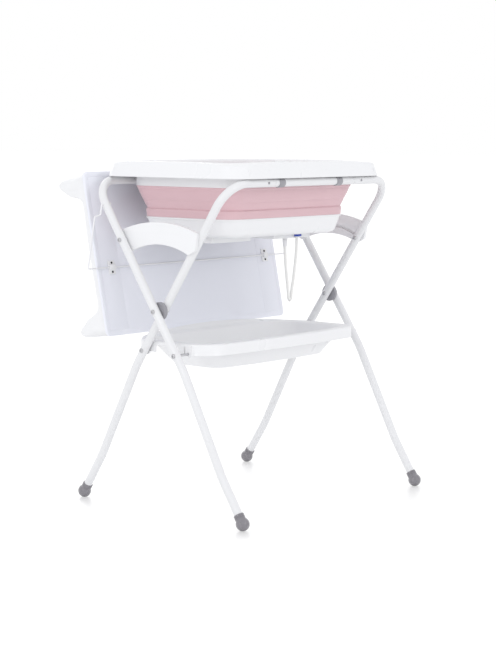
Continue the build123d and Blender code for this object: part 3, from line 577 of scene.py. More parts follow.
bolt_radius = 0.004
button_head = head_pattern("button_head", [
    (0, 0), (0.0070, 0), (0.0070, 0.0010), (0.0066, 0.0020), (0.0056, 0.0031), (0.0042, 0.0038),
    (0.0034, 0.0040, 6), (0.0030, 0.0037, 6), (0.0030, 0.0018, 6), (0, 0.0014),
])
outer_outside = outer_x + tube_radius
inner_outside = inner_x + tube_radius
inner_face = inner_x - tube_radius
pivot_height = 0.6
tray_end = 0.3702
guide_bolt_end, guide_pin_end = 0.4081, 0.4061
guide_bolt_radius = 0.003
tray_bolt_y, tray_bolt_z = 0.08085, 0.477
guide_bolt, guide_pin = (0.13376, 0.80347), (-0.12194, 0.78550)
bolts = (
    ("pivot_bolts", "outer_frame", bolt_radius, 0, pivot_height, outer_outside, inner_face - 0.0003, True),
    ("guide_bolts", "outer_frame", guide_bolt_radius, *guide_bolt, outer_outside, guide_bolt_end, False),
    ("tray_hook_bolts", "outer_frame", bolt_radius, -tray_bolt_y, tray_bolt_z, outer_outside, tray_end, True),
    ("tray_hinge_bolts", "inner_frame", bolt_radius, tray_bolt_y, tray_bolt_z, inner_outside, tray_end, True),
    ("guide_pins", "inner_frame", bolt_radius, *guide_pin, inner_face, guide_pin_end, False),
)
for node, body, radius, y, z, head_x, end_x, through in bolts:
    seats, shanks, loose = [], [], []
    for side in (-1, 1):
        away = 1 if head_x > end_x else -1
        seats.append(((side * head_x, y, z), (side * away, 0, 0)))
        if through:
            seats.append(((side * end_x, y, z), (-side * away, 0, 0)))
            shanks.append((len(seats) - 2, len(seats) - 1))
        else:
            length = abs(end_x - head_x)
            loose.append(turned_at([(0, 0), (radius, 0), (radius, length), (0, length)],
                                   (-side * away, 0, 0), (side * head_x, y, z), 20))
    bolt = grown(seats_mesh(seats, shanks), node + "_set", fasteners, Shank_Radius=radius,
                 Head=button_head, Material=zinc)
    bolt.data = outward(joined(bolt.data, *loose), 30)
    dressed(bolt, body, zinc, "steel_bolts", node)
bpy.data.objects.remove(button_head)


# Spring buttons. Small domes of grey plastic beside each rail joint; a spring inside the tube
# pushes them out through a hole, which holds the plugged tubes.
grey_plastic = finish("satin grey plastic", (0.305, 0.30, 0.325), (0.345, 0.34, 0.365), 0.28, 1100, 0.00003,
                      smudge_scale=30)

spring_button = head_pattern("spring_button", [
    (0, 0), (0.0035, 0), (0.0035, 0.0014), (0.0031, 0.0021), (0.0022, 0.0025), (0, 0.0027),
])
button_x = 0.223
for frame_name, body, x, foot_side, rail in both_frames:
    way = -foot_side
    places = [((side * button_x, way * (rail_reach + tube_radius - 0.0002), rail_height), (0, way, 0))
              for side in (-1, 1)]
    studs = grown(seats_mesh(places, []), rail + "_studs", fasteners, Head=spring_button,
                  Material=grey_plastic)
    dressed(studs, body, grey_plastic, "grey_plastic", rail + "_buttons")
bpy.data.objects.remove(spring_button)


# Pivot discs. Thick washers moulded in grey plastic, with a raised hub; the pivot bolts hold
# them between the crossing legs.
def spun(name, profile, direction, place, segments=48, sharp_degrees=35):
    """A turned piece of its own, stood at a place."""
    return stand(outward(turned_at(profile, direction, place, segments), sharp_degrees), name)


disc_radius = 0.027
disc_from, disc_to = 0.4008, 0.4115
disc_thickness = disc_to - disc_from
disc_rows = [
    (0, 0), (0.0254, 0), (0.0266, 0.0005), (disc_radius, 0.0017),
    (disc_radius, disc_thickness - 0.0017), (0.0266, disc_thickness - 0.0005), (0.0254, disc_thickness),
    (0.0215, disc_thickness), (0.0210, disc_thickness - 0.0007), (0.0195, disc_thickness - 0.0007),
    (0.0190, disc_thickness), (0, disc_thickness),
]
for side_name, side in sides:
    disc = spun("pivot_washer_" + side_name, disc_rows, (side, 0, 0),
                (side * disc_from, 0, pivot_height), 72, 30)
    dressed(disc, "outer_frame", grey_plastic, "grey_plastic", "pivot_disc_" + side_name)


# Fold guides. White moulded plates shaped like a banana, bolted between the legs of each
# end; a pin on the inner leg runs in the curved slot on the hidden face.
def arc_points(start, middle, end, steps):
    """Points on the circle through three points of a plane."""
    ax, ay, bx, by, cx, cy = *start, *middle, *end
    double = 2 * (ax * (by - cy) + bx * (cy - ay) + cx * (ay - by))
    squares = (ax * ax + ay * ay, bx * bx + by * by, cx * cx + cy * cy)
    x = (squares[0] * (by - cy) + squares[1] * (cy - ay) + squares[2] * (ay - by)) / double
    y = (squares[0] * (cx - bx) + squares[1] * (ax - cx) + squares[2] * (bx - ax)) / double
    radius = math.hypot(ax - x, ay - y)
    first = math.atan2(ay - y, ax - x)
    turn = (math.atan2(cy - y, cx - x) - first) % (2 * math.pi)
    if (math.atan2(by - y, bx - x) - first) % (2 * math.pi) > turn:
        turn -= 2 * math.pi
    angles = [first + turn * i / steps for i in range(steps + 1)]
    return [(x + radius * math.cos(a), y + radius * math.sin(a)) for a in angles]


def eased_corner(before, corner, after, radius, steps=6):
    """Points that round a corner between two nearly straight runs."""
    corner = Vector(corner)
    one = (Vector(before) - corner).normalized()
    two = (Vector(after) - corner).normalized()
    half = one.angle(two) / 2
    reach = radius / math.tan(half)
    start, end = corner + one * reach, corner + two * reach
    middle = corner + (one + two).normalized() * (radius / math.sin(half) - radius)
    return arc_points(start, middle, end, steps)


def plate(name, outlines, thickness, edge):
    """A flat plate in the XY plane with rounded edges; later outlines are holes."""
    curve = bpy.data.curves.new(name, "CURVE")
    curve.dimensions = "2D"
    curve.fill_mode = "BOTH"
    for outline in outlines:
        spline = curve.splines.new("POLY")
        spline.points.add(len(outline) - 1)
        for point, (x, y) in zip(spline.points, outline):
            point.co = (x, y, 0, 1)
        spline.use_cyclic_u = True
    curve.extrude = thickness / 2 - edge
    curve.bevel_depth = edge
    curve.offset = -edge
    curve.bevel_resolution = 3
    flat = made_real(stand(curve, name), name)
    mesh = flat.data
    bpy.data.objects.remove(flat)
    return mesh


white_plastic = finish("white moulded plastic", (0.86, 0.86, 0.87), (0.85, 0.85, 0.86), 0.26, 1300, 0.00003,
                       coat=0.1, smudge_scale=7, hairlines=0.04)

guide_arc = arc_points((-0.150, 0.832), (0, 0.860), (0.150, 0.832), 40)
guide_arch = arc_points((0.114, 0.769), (0, 0.795), (-0.114, 0.769), 36)
guide_tips = ((0.140, 0.782), (-0.140, 0.782))
corner_radius = 0.009
corner_run = 3
guide_outline = []
for arc, start_tip, end_tip, next_arc in (
    (guide_arc, guide_tips[1], guide_tips[0], guide_arch),
    (guide_arch, guide_tips[0], guide_tips[1], guide_arc),
):
    guide_outline += eased_corner(start_tip, arc[0], arc[corner_run], corner_radius)
    guide_outline += arc[corner_run:-corner_run]
    guide_outline += eased_corner(arc[-1 - corner_run], arc[-1], end_tip, corner_radius)
    guide_outline += eased_corner(arc[-1], end_tip, next_arc[0], corner_radius)
slot_radius = 0.222
slot_half_width = 0.0043
slot_start = math.pi / 2 + math.atan2(rail_reach, rail_height - pivot_height)
slot_turn = math.radians(58)


def slot_point(angle, radius):
    """A place on the slot, seen along X."""
    return radius * math.cos(angle), pivot_height + radius * math.sin(angle)


slot_steps = 36
slot_angles = [slot_start - slot_turn * i / slot_steps for i in range(slot_steps + 1)]
slot_outline = [slot_point(a, slot_radius + slot_half_width) for a in slot_angles]
slot_outline += [slot_point(slot_angles[-1] - slot_half_width / slot_radius, slot_radius)]
slot_outline += [slot_point(a, slot_radius - slot_half_width) for a in reversed(slot_angles)]
slot_outline += [slot_point(slot_start + slot_half_width / slot_radius, slot_radius)]
guide_from, guide_split, guide_to = 0.4010, 0.4072, 0.4112
across = Matrix(((0, 0, 1, 0), (1, 0, 0, 0), (0, 1, 0, 0), (0, 0, 0, 1)))
for side_name, side in sides:
    layers = []
    for holes, start_x, end_x, edge in (
        ([slot_outline], guide_from, guide_split, 0.0005), ([], guide_split, guide_to, 0.0016),
    ):
        layer = plate("guide_layer", [guide_outline, *holes], end_x - start_x, edge)
        layer.transform(to_crossing @ Matrix.Translation((side * (start_x + end_x) / 2, 0, 0)) @ across)
        layers.append(outward(layer, 30))
    guide = stand(smoothed(joined(*layers), 30), "fold_guide_plate_" + side_name)
    dressed(guide, "outer_frame", white_plastic, "white_plastic", "fold_guide_" + side_name)


# Rail hooks. Two saddles of grey nylon, each moulded in one piece and wrapped round the front
# rail; the tub rim rests on them.
def softened(node, edge, segments=2, sharp_degrees=30):
    """A copy of a CAD node with its hard edges rounded."""
    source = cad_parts[node].data
    work = bmesh.new()
    work.from_mesh(source)
    bmesh.ops.remove_doubles(work, verts=work.verts, dist=1e-5)
    bmesh.ops.dissolve_limit(work, angle_limit=math.radians(1), verts=work.verts, edges=work.edges)
    clean = bpy.data.meshes.new(node)
    clean.from_pydata([v.co[:] for v in work.verts], [],
                      [[v.index for v in face.verts] for face in work.faces])
    work.free()
    host = stand(clean, node + "_host")
    bevel = host.modifiers.new("edges", "BEVEL")
    bevel.width = edge
    bevel.segments = segments
    bevel.limit_method = "ANGLE"
    bevel.angle_limit = math.radians(sharp_degrees)
    piece = made_real(host, node + "_moulded")
    smoothed(piece.data, sharp_degrees)
    return piece


for side_name, side in sides:
    hook = softened("rail_hook_" + side_name, 0.0006)
    dressed(hook, "inner_frame", grey_plastic, "grey_plastic", "rail_hook_" + side_name)


# Storage tray. One white vacuum-formed shell: a wide flange with a turned-down skirt and a
# deep bowed basin; each end has a finger arch, an eye for the hinge bolt and an open hook.
def ring_points(half_length, half_width, radius, z, bow=0.0, corner_steps=10, side_steps=14):
    """Rounded rectangle whose long sides bow out, with the same count for every size."""
    points = []
    corners = ((1, 1, 0), (-1, 1, 90), (-1, -1, 180), (1, -1, 270))
    for index, (sx, sy, start) in enumerate(corners):
        cx, cy = sx * (half_length - radius), sy * (half_width - radius)
        for step in range(corner_steps + 1):
            angle = math.radians(start + 90 * step / corner_steps)
            points.append((cx + radius * math.cos(angle), cy + radius * math.sin(angle)))
        nx, ny, next_start = corners[(index + 1) % 4]
        fx = nx * (half_length - radius) + radius * math.cos(math.radians(next_start))
        fy = ny * (half_width - radius) + radius * math.sin(math.radians(next_start))
        lx, ly = points[-1]
        for step in range(1, side_steps):
            share = step / side_steps
            points.append((lx + (fx - lx) * share, ly + (fy - ly) * share))
    return [(x, y + bow * (1 - (x / half_length) ** 2) * (y / half_width), z) for x, y in points]


def lofted(rings, closed=False, place=to_crossing):
    """Skin through rings of equal count, either joined end to end or capped at both ends."""
    work = bmesh.new()
    rows = [[work.verts.new(point) for point in ring] for ring in rings]
    count = len(rows[0])
    for lower, upper in zip(rows, rows[1:] + rows[:1] if closed else rows[1:]):
        for i in range(count):
            j = (i + 1) % count
            work.faces.new((lower[i], lower[j], upper[j], upper[i]))
    if not closed:
        work.faces.new(list(reversed(rows[0])))
        work.faces.new(rows[-1])
    bmesh.ops.recalc_face_normals(work, faces=work.faces)
    mesh = bpy.data.meshes.new("lofted")
    work.to_mesh(mesh)
    work.free()
    mesh.transform(place)
    return mesh


def block(corner, far_corner, edge, segments, place=to_crossing):
    """A box between two opposite corners with all its edges rounded."""
    work = bmesh.new()
    bmesh.ops.create_cube(work, size=1)
    size = [abs(b - a) for a, b in zip(corner, far_corner)]
    middle = [(a + b) / 2 for a, b in zip(corner, far_corner)]
    for vertex in work.verts:
        vertex.co = Vector(m + c * s for m, c, s in zip(middle, vertex.co, size))
    bmesh.ops.bevel(work, geom=work.edges[:], offset=edge, segments=segments, profile=0.5, affect="EDGES")
    mesh = bpy.data.meshes.new("block")
    work.to_mesh(mesh)
    work.free()
    mesh.transform(place)
    return mesh


def cut_out(piece, name, *cutters):
    """The piece with closed cutter meshes taken away."""
    tool = stand(joined(*cutters), "cutter")
    cut = piece.modifiers.new("cut", "BOOLEAN")
    cut.operation = "DIFFERENCE"
    cut.solver = "EXACT"
    cut.use_self = True
    cut.object = tool
    result = made_real(piece, name)
    bpy.data.objects.remove(tool)
    return result


tray_half_length = 0.3745
tray_half_width = 0.150
tray_bow = 0.022
tray_corner = 0.080
tray_top = 0.507
tray_skirt = 0.034
tray_wall = 0.003
flange = 0.026
floor_half_length = 0.262
floor_half_width = 0.096
floor_bow = 0.012
floor_corner = 0.048
floor_z = 0.424
lip_half_length = 0.340
lip_rise = 0.019


def tray_ring(inset, z, lip=0.0):
    """Outline of the flange or skirt, moved in; lip is the share of the arch on its back side."""
    ring = ring_points(tray_half_length - inset, tray_half_width - inset,
                       tray_corner - min(inset, 0.06), z, tray_bow)
    raised = []
    for x, y, height in ring:
        arch = max(0, 1 - (x / lip_half_length) ** 2) if y > 0 else 0
        raised.append((x, y, height + lip * lip_rise * arch))
    return raised


def basin_ring(share, z, shrink=0.0):
    """Outline of the basin wall, from the floor at 0 to the mouth at 1."""
    return ring_points(
        floor_half_length + (tray_half_length - flange - floor_half_length) * share - shrink,
        floor_half_width + (tray_half_width - flange - floor_half_width) * share - shrink,
        floor_corner + (tray_corner - flange - floor_corner) * share - shrink / 2,
        z, floor_bow + (tray_bow - floor_bow) * share)


tray_depth = tray_top - floor_z
tray_foot = tray_top - tray_skirt
tray_rings = [basin_ring(share, z, tray_wall) for share, z in (
    (-0.30, floor_z + tray_wall), (-0.10, floor_z + tray_wall), (0.00, floor_z + tray_wall + 0.0012),
    (0.06, floor_z + tray_wall + 0.0045), (0.12, floor_z + tray_wall + 0.0105),
    (0.50, floor_z + tray_depth * 0.50), (0.88, tray_top - 0.0085), (0.95, tray_top - 0.0030),
    (1.01, tray_top - 0.0006),
)]
tray_rings += [tray_ring(*row) for row in (
    (flange - 0.005, tray_top, 0.06), (0.0150, tray_top, 0.24), (0.0085, tray_top, 0.62),
    (0.0052, tray_top - 0.0004, 0.90), (0.0036, tray_top - 0.0010, 0.98), (0.0022, tray_top - 0.0022, 1),
    (0.0010, tray_top - 0.0042, 1), (0, tray_top - 0.0080, 1), (0, tray_foot + 0.0032),
    (-0.0010, tray_foot + 0.0012), (0, tray_foot), (tray_wall, tray_foot), (tray_wall, tray_top - 0.0090),
    (tray_wall + 0.0040, tray_top - tray_wall), (flange - 0.006, tray_top - tray_wall),
)]
tray_rings += [basin_ring(*row) for row in (
    (0.95, tray_top - 0.0085), (0.86, tray_top - 0.0120), (0.50, floor_z + tray_depth * 0.47),
    (0.13, floor_z + 0.0095), (0.06, floor_z + 0.0030), (0.00, floor_z + 0.0006), (-0.10, floor_z),
    (-0.30, floor_z),
)]
tray_shell = stand(outward(lofted(tray_rings), 50), "tray_shell")
arch_half_width = 0.046
arch_top = 0.496
cutters = [
    block((side * tray_half_length - 0.012, -arch_half_width, tray_top - tray_skirt - 0.02),
          (side * tray_half_length + 0.012, arch_half_width, arch_top), 0.010, 5) for side in (-1, 1)]
tray_shell = cut_out(tray_shell, "tray_shell", *cutters)

ear_radius = 0.013
ear_thickness = 0.004
ear_top = tray_top - 0.005 - tray_bolt_z
bore = 0.0044
bore_top = arc_points((-bore, 0), (0, bore), (bore, 0), 12)
ear_corners = [(ear_radius, ear_top), (-ear_radius, ear_top)]
hook_outline = (
    arc_points((-ear_radius, 0), (-0.010, -0.0083), (-0.002, -0.0128), 10)
    + [(-0.0036, -0.004)] + bore_top + [(ear_radius, -0.004)] + ear_corners
)
eye_outline = arc_points((-ear_radius, 0), (0, -ear_radius), (ear_radius, 0), 20) + ear_corners
eye_hole = bore_top[::-1] + arc_points((-bore, 0), (0, -bore), (bore, 0), 12)[1:-1]
ears = []
for side in (-1, 1):
    for ear_y, outlines in ((-tray_bolt_y, [hook_outline]), (tray_bolt_y, [eye_outline, eye_hole])):
        ear = plate("ear", outlines, ear_thickness, 0.0005)
        place = (side * (tray_half_length - ear_thickness / 2), ear_y, tray_bolt_z)
        ear.transform(to_crossing @ Matrix.Translation(place) @ across)
        ears.append(outward(ear, 30))
tray_mesh = joined(tray_shell.data, *ears)
bpy.data.objects.remove(tray_shell)
tray = stand(smoothed(tray_mesh, 38), "tray_moulding")
dressed(tray, "tray", white_plastic, "white_plastic", "storage_tray")


# Tub rim. A stiff white hoop with a flared skirt, a rounded top and an inner wall that the
# soft wall hangs from; six ribs under each long side sit on the two rails. Its corners sag a
# little, the front ones most.
tub_x, tub_y = -0.010, 0.010
on_tub = to_crossing @ Matrix.Translation((tub_x, tub_y, 0))
rim_top = 1.034
rim_foot = rail_height + tube_radius + 0.0003
rim_rows = (
    (0.3620, 0.2750, 0.0800, rim_foot), (0.3626, 0.2756, 0.0806, rim_foot + 0.0015),
    (0.3618, 0.2748, 0.0798, rim_foot + 0.0035), (0.3560, 0.2690, 0.0740, 1.0100),
    (0.3515, 0.2645, 0.0695, 1.0265), (0.3500, 0.2630, 0.0680, 1.0308), (0.3472, 0.2602, 0.0652, 1.0332),
    (0.3430, 0.2560, 0.0610, rim_top), (0.3330, 0.2440, 0.0600, rim_top),
    (0.3290, 0.2395, 0.0610, rim_top - 0.0014), (0.3180, 0.2240, 0.0630, rim_top - 0.0014),
    (0.3140, 0.2190, 0.0640, rim_top), (0.3085, 0.2105, 0.0650, rim_top),
    (0.3045, 0.2065, 0.0645, rim_top - 0.0012), (0.3022, 0.2042, 0.0625, rim_top - 0.0042),
    (0.3015, 0.2035, 0.0620, rim_top - 0.0085), (0.3015, 0.2035, 0.0620, 0.9615),
    (0.3022, 0.2042, 0.0627, 0.9600), (0.3043, 0.2063, 0.0637, 0.9600), (0.3050, 0.2070, 0.0640, 0.9615),
    (0.3050, 0.2070, 0.0640, 1.0270), (0.3085, 0.2105, 0.0645, 1.0300), (0.3430, 0.2560, 0.0610, 1.0300),
    (0.3468, 0.2598, 0.0650, 1.0285), (0.3585, 0.2715, 0.0765, rim_foot + 0.0010),
    (0.3590, 0.2720, 0.0770, rim_foot),
)
rim_half_length, rim_half_width = 0.362, 0.275
rim_mesh = lofted([ring_points(*row) for row in rim_rows], closed=True, place=on_tub)
corner_droop = 0.011
droop_along, droop_across = 5, 3
for vertex in rim_mesh.vertices:
    height = max(0, (vertex.co.z - rim_foot) / (rim_top - rim_foot))
    along = abs((vertex.co.x - tub_x) / rim_half_length) ** droop_along
    out = abs((vertex.co.y - tub_y) / rim_half_width) ** droop_across
    vertex.co.z -= corner_droop * height * along * out
rib_half_thickness = 0.002
rib_from, rib_to, rib_top = 0.2068, 0.2700, 1.0120
rim_parts = [outward(rim_mesh, 40)]
for rib_x in (-0.300, -0.215, -0.050, 0.050, 0.215, 0.300):
    for side in (-1, 1):
        rim_parts.append(block((rib_x - rib_half_thickness, side * rib_from, rim_foot),
                               (rib_x + rib_half_thickness, side * rib_to, rib_top), 0.0008, 2, on_tub))
stop_x = -0.125
stop_y = -0.241
stop_half_length, stop_half_width, stop_half_height = 0.018, 0.007, 0.004
stop = block((stop_x - stop_half_length, stop_y - stop_half_width, rim_top - stop_half_height),
             (stop_x + stop_half_length, stop_y + stop_half_width, rim_top + stop_half_height),
             0.0018, 4, on_tub)
rim = stand(smoothed(joined(*rim_parts, stop), 40), "tub_rim_hoop")
dressed(rim, "tub", white_plastic, "white_plastic", "tub_rim")


# Folding wall. Dusty pink silicone of even thickness, pushed out at its beads and drawn in at its
# hinge lines, where the real wall folds on itself when the base is pushed up.
wall_top = 0.960
ridge_z = 0.892
wall_foot = 0.868
fold_wall = 0.003


def wall_ring(level, out):
    """Outline of the folding wall at a height, pushed out by a bead or in by a hinge line."""
    if level >= ridge_z:
        share = (level - ridge_z) / (wall_top - ridge_z)
        size = (0.282 + 0.023 * share, 0.179 + 0.028 * share, 0.058 + 0.006 * share)
    else:
        share = (level - wall_foot) / (ridge_z - wall_foot)
        size = (0.283 + 0.0015 * share, 0.181 + 0.0005 * share, 0.058)
    return ring_points(size[0] + out, size[1] + out, size[2] + out, level)


wall_levels = [
    (0.9600, 0), (0.9585, 0.0008), (0.9555, 0.0009), (0.9535, 0.0002), (0.9520, -0.0005), (0.9504, 0),
    (0.9380, 0.0007), (0.9260, 0.0008), (0.9185, 0.0002), (0.9170, -0.0004), (0.9155, 0.0002),
    (0.9080, 0.0006), (0.9000, 0.0004), (0.8955, 0.0001), (0.8930, -0.0001), (0.8916, 0.0004),
    (0.8896, 0.0010), (0.8860, 0.0011), (0.8832, 0.0010), (0.8815, 0.0008), (0.8800, 0.0008),
    (0.8740, 0.0008), (0.8700, 0.0006), (0.8680, 0),
]
wall_rings = [wall_ring(level, out) for level, out in wall_levels]
wall_rings += [wall_ring(level, out - fold_wall) for level, out in reversed(wall_levels)]
wall_mesh = lofted(wall_rings, closed=True, place=on_tub)
folding_wall = stand(outward(wall_mesh, 60), "tub_folding_wall")
pink_silicone = finish("dusty pink silicone", (0.745, 0.505, 0.54), (0.715, 0.48, 0.515), 0.46, 1600, 0.00004,
                       sheen=0.25, smudge_scale=6)
folding_wall.data.materials.append(pink_silicone)
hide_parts("tub_bellows")
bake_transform(folding_wall)


# Tub base. White moulded bottom with rounded lower edges, a drain hole and low grip dots
# on the floor inside.
base_foot = 0.811
base_top = 0.868
base_wall = 0.003
base_floor = base_foot + base_wall
base_rows = (
    (0.200, 0.100, 0.020, base_floor), (0.2500, 0.1490, 0.0430, base_floor),
    (0.2575, 0.1565, 0.0480, base_floor + 0.0022), (0.2635, 0.1625, 0.0520, base_floor + 0.0075),
    (0.2668, 0.1658, 0.0540, base_floor + 0.0140), (0.2800, 0.1780, 0.0550, base_top),
    (0.2830, 0.1810, 0.0580, base_top), (0.2846, 0.1826, 0.0596, base_top - 0.0008),
    (0.2850, 0.1830, 0.0600, base_top - 0.0030), (0.2845, 0.1825, 0.0595, base_top - 0.0055),
    (0.2815, 0.1796, 0.0575, base_top - 0.0066), (0.2735, 0.1722, 0.0580, base_foot + 0.0210),
    (0.2722, 0.1708, 0.0575, base_foot + 0.0160), (0.2695, 0.1683, 0.0560, base_foot + 0.0098),
    (0.2640, 0.1628, 0.0530, base_foot + 0.0045), (0.2570, 0.1560, 0.0480, base_foot + 0.0012),
    (0.2500, 0.1490, 0.0430, base_foot), (0.200, 0.100, 0.020, base_foot),
)
base_mesh = lofted([ring_points(*row) for row in base_rows], place=on_tub)
tub_base = stand(outward(base_mesh, 45), "tub_bottom_moulding")
up = (0, 0, 1)
drain_x, drain_y = 0.129, -0.035
drain_radius = 0.008
drain_cutter = turned_at([(0, -0.02), (drain_radius, -0.02), (drain_radius, 0.02), (0, 0.02)],
                         up, (drain_x, drain_y, base_foot), 40)
tub_base = cut_out(tub_base, "tub_bottom_moulding", drain_cutter)
smoothed(tub_base.data, 40)
dressed(tub_base, "tub_bottom", white_plastic, "white_plastic", "tub_base")

grip_dot = head_pattern("grip_dot", [(0, 0), (0.0042, 0), (0.0036, 0.0006), (0.0022, 0.0010), (0, 0.0011)])
dot_spacing = 0.026
dot_clearance = 0.030
dot_places = []
for row in range(-4, 5):
    for column in range(-8, 9):
        x = tub_x + (column + 0.5 * (row % 2)) * dot_spacing
        y = tub_y + row * dot_spacing
        if math.hypot(x - drain_x, y - drain_y) > dot_clearance:
            dot_places.append(((x, y, base_floor - 0.0001), up))
dots = grown(seats_mesh(dot_places, []), "tub_grip_dots", fasteners, Head=grip_dot,
             Material=white_plastic)
dressed(dots, "tub_bottom", white_plastic, "white_plastic")
bpy.data.objects.remove(grip_dot)


# Foot plates. Two flat feet of white plastic moulded under the base, on which the folded tub
# stands; the right one leaves a round hole for the drain spout.
for side_name, side in sides:
    foot_plate = softened("foot_plate_" + side_name, 0.0012, 3)
    dressed(foot_plate, "tub_bottom", white_plastic, "white_plastic", "foot_plate_" + side_name)


# Drain spout. A round white plastic flange under the drain, moulded with a neck that narrows
# at its end; a soft sleeve below the neck holds the hose.
spout_rows = [
    (0.008, 0), (0.0165, 0), (0.017, -0.0005), (0.017, -0.0034), (0.0164, -0.004), (0.0112, -0.004),
    (0.0102, -0.0048), (0.010, -0.006), (0.010, -0.0148), (0.0094, -0.016), (0.0048, -0.016),
    (0.0048, -0.0105), (0.0080, -0.0100), (0.008, 0),
]
spout = spun("drain_spout_moulding", spout_rows, up, (drain_x, drain_y, base_foot))
dressed(spout, "tub_bottom", white_plastic, "white_plastic", "drain_spout")

sleeve_bore = 0.00478
sleeve_top = 0.7952
sleeve_rows = [
    (sleeve_bore, 0), (0.0078, 0), (0.0084, -0.0006), (0.0084, -0.0045), (0.0077, -0.0053), (0.0075, -0.0098),
    (0.0079, -0.0104), (0.0078, -0.0130), (0.0072, -0.0138), (0.0062, -0.0290), (0.0056, -0.0300),
    (sleeve_bore, -0.0300), (sleeve_bore, 0),
]
sleeve = spun("hose_sleeve", sleeve_rows, up, (drain_x, drain_y, sleeve_top), 32)
dressed(sleeve, "tub_bottom", white_plastic, "white_plastic")


# Drain plug. White plastic, moulded in one piece with a wide low head that is hollow in the
# middle, and pushed into the drain.
plug_base = base_floor + 0.0003
plug_rows = [
    (0, -0.009), (0.0064, -0.009), (0.0072, -0.0082), (0.0076, -0.0060), (0.0076, 0),
    (0.0146, 0), (0.015, 0.0005), (0.015, 0.0030), (0.0142, 0.0043), (0.0120, 0.0049),
    (0.0060, 0.0050), (0.0050, 0.0044), (0.0042, 0.0030), (0, 0.0028),
]
plug = spun("drain_plug_moulding", plug_rows, up, (drain_x, drain_y, plug_base))
dressed(plug, "plug", white_plastic, "white_plastic", "drain_plug")


# Hose clip. A small block of blue plastic fixed under the base, in front of the right foot
# plate; its jaw grips the end of the hose.
blue_plastic = finish("blue plastic", (0.025, 0.06, 0.42), (0.03, 0.075, 0.47), 0.25, 1000, 0.00004,
                      smudge_scale=60)
clip_body = block((0.142, -0.0742, 0.7975), (0.164, -0.0600, base_foot), 0.0022, 4)
clip_jaw = block((0.1445, -0.0752, 0.7990), (0.1535, -0.0700, 0.8045), 0.0010, 2)
clip = stand(outward(joined(clip_body, clip_jaw), 30), "hose_clip_moulding")
dressed(clip, "tub_bottom", blue_plastic, "blue_plastic", "hose_clip")


# Wire arm. One white coated 5 mm wire that turns in both outer legs and carries the board;
# small caps keep its ends inside the legs.
wire_radius = 0.0025
wire_pivot = (0.201568, 0.906645)
wire_run = (0.236701, 0.713766)
wire_length = math.hypot(wire_run[0] - wire_pivot[0], wire_run[1] - wire_pivot[1])
wire_end_x = 0.409
wire_neck_x = 0.441
wire_side_x = 0.464
wire_neck_down, wire_side_down = 0.032, 0.037
wire_bend = 0.0045


def wire_point(x, down, bend):
    """A place on the wire's side arm, measured down from its pivot."""
    share = down / wire_length
    y = wire_pivot[0] + (wire_run[0] - wire_pivot[0]) * share
    z = wire_pivot[1] + (wire_run[1] - wire_pivot[1]) * share
    return x, y, z, bend


half_wire = [wire_point(*row) for row in (
    (wire_end_x, 0, 0), (wire_neck_x, 0, wire_bend), (wire_neck_x, wire_neck_down, wire_bend),
    (wire_side_x, wire_side_down, wire_bend), (wire_side_x, wire_length, wire_bend),
)]
whole_wire = half_wire + [(-x, y, z, bend) for x, y, z, bend in reversed(half_wire)]
coated_wire = finish("white coated wire", (0.86, 0.86, 0.88), (0.82, 0.82, 0.84), 0.32, 900, 0.00004)
wire = grown(route_mesh("wire", whole_wire), "wire_arm_rod", bent_tube, Radius=wire_radius, Sides=20,
             Bend_Steps=8, Material=coated_wire)
dressed(wire, "arm", coated_wire, "white_wire", "wire_arm")

cap_rows = [
    (0, -0.005), (0.0052, -0.005), (0.0062, -0.0044), (0.0065, -0.0034), (0.0065, -0.0006), (0.0060, 0),
    (0, 0),
]
cap_x = 0.4112
cap_meshes = []
for side in (-1, 1):
    cap_mesh = turned_at(cap_rows, (side, 0, 0), (side * cap_x, *wire_pivot), 32)
    cap_meshes.append(outward(cap_mesh, 35))
caps = stand(joined(*cap_meshes), "wire_end_caps")
dressed(caps, "arm", white_plastic, "white_plastic", "wire_caps")


# Changing board. A stiff pale lilac sheet with a rounded edge, its underside set back a little
# inside the edge; two white clips screwed to the underside hold it on the wire.
board_lean = math.radians(11.65)
board_place = (0, 0.200, 0.511)
board_half_length = 0.420
board_width = 0.500
board_thickness = 0.008
on_board = (
    to_crossing @ Matrix.Translation(board_place)
    @ turned_to((-1, 0, 0), (0, math.sin(board_lean), math.cos(board_lean)),
                (0, math.cos(board_lean), -math.sin(board_lean))).to_4x4()
)
lilac_board = finish("pale lilac board", (0.865, 0.875, 0.935), (0.84, 0.85, 0.915), 0.42, 1200, 0.00006,
                     smudge_scale=5, hairlines=0.2)


def board_ring(inset, out):
    """Outline of the board at a depth, seen on its own plane."""
    ring = ring_points(board_half_length - inset, board_width / 2 - inset, 0.016 - min(inset, 0.010), out)
    return [(x, y + board_width / 2, z) for x, y, z in ring]


board_rows = (
    (0.030, 0.0012), (0.020, 0.0012), (0.0172, 0.0010), (0.0150, 0.0002), (0.0125, 0), (0.0030, 0),
    (0.0012, 0.0006), (0, 0.0022), (0, 0.0060), (0.0008, 0.0074), (0.0024, board_thickness),
    (0.030, board_thickness),
)
board_mesh = lofted([board_ring(*row) for row in board_rows], place=on_board)
board = stand(outward(board_mesh, 40), "board_sheet")
dressed(board, "board", lilac_board, "board_underside", "board_panel")

hem_width = 0.080
hem_margin = 0.015
hem_middle = board_half_length - hem_margin - hem_width / 2
hem_from, hem_to = 0.0008, 0.0020
hem_meshes = []
for side in (-1, 1):
    hem = block((side * hem_middle - hem_width / 2, hem_margin, hem_from),
                (side * hem_middle + hem_width / 2, board_width - hem_margin, hem_to), 0.0002, 2, on_board)
    hem_meshes.append(outward(hem, 30))
hems = stand(joined(*hem_meshes), "board_hems")
dressed(hems, "board", lilac_board, "board_underside")

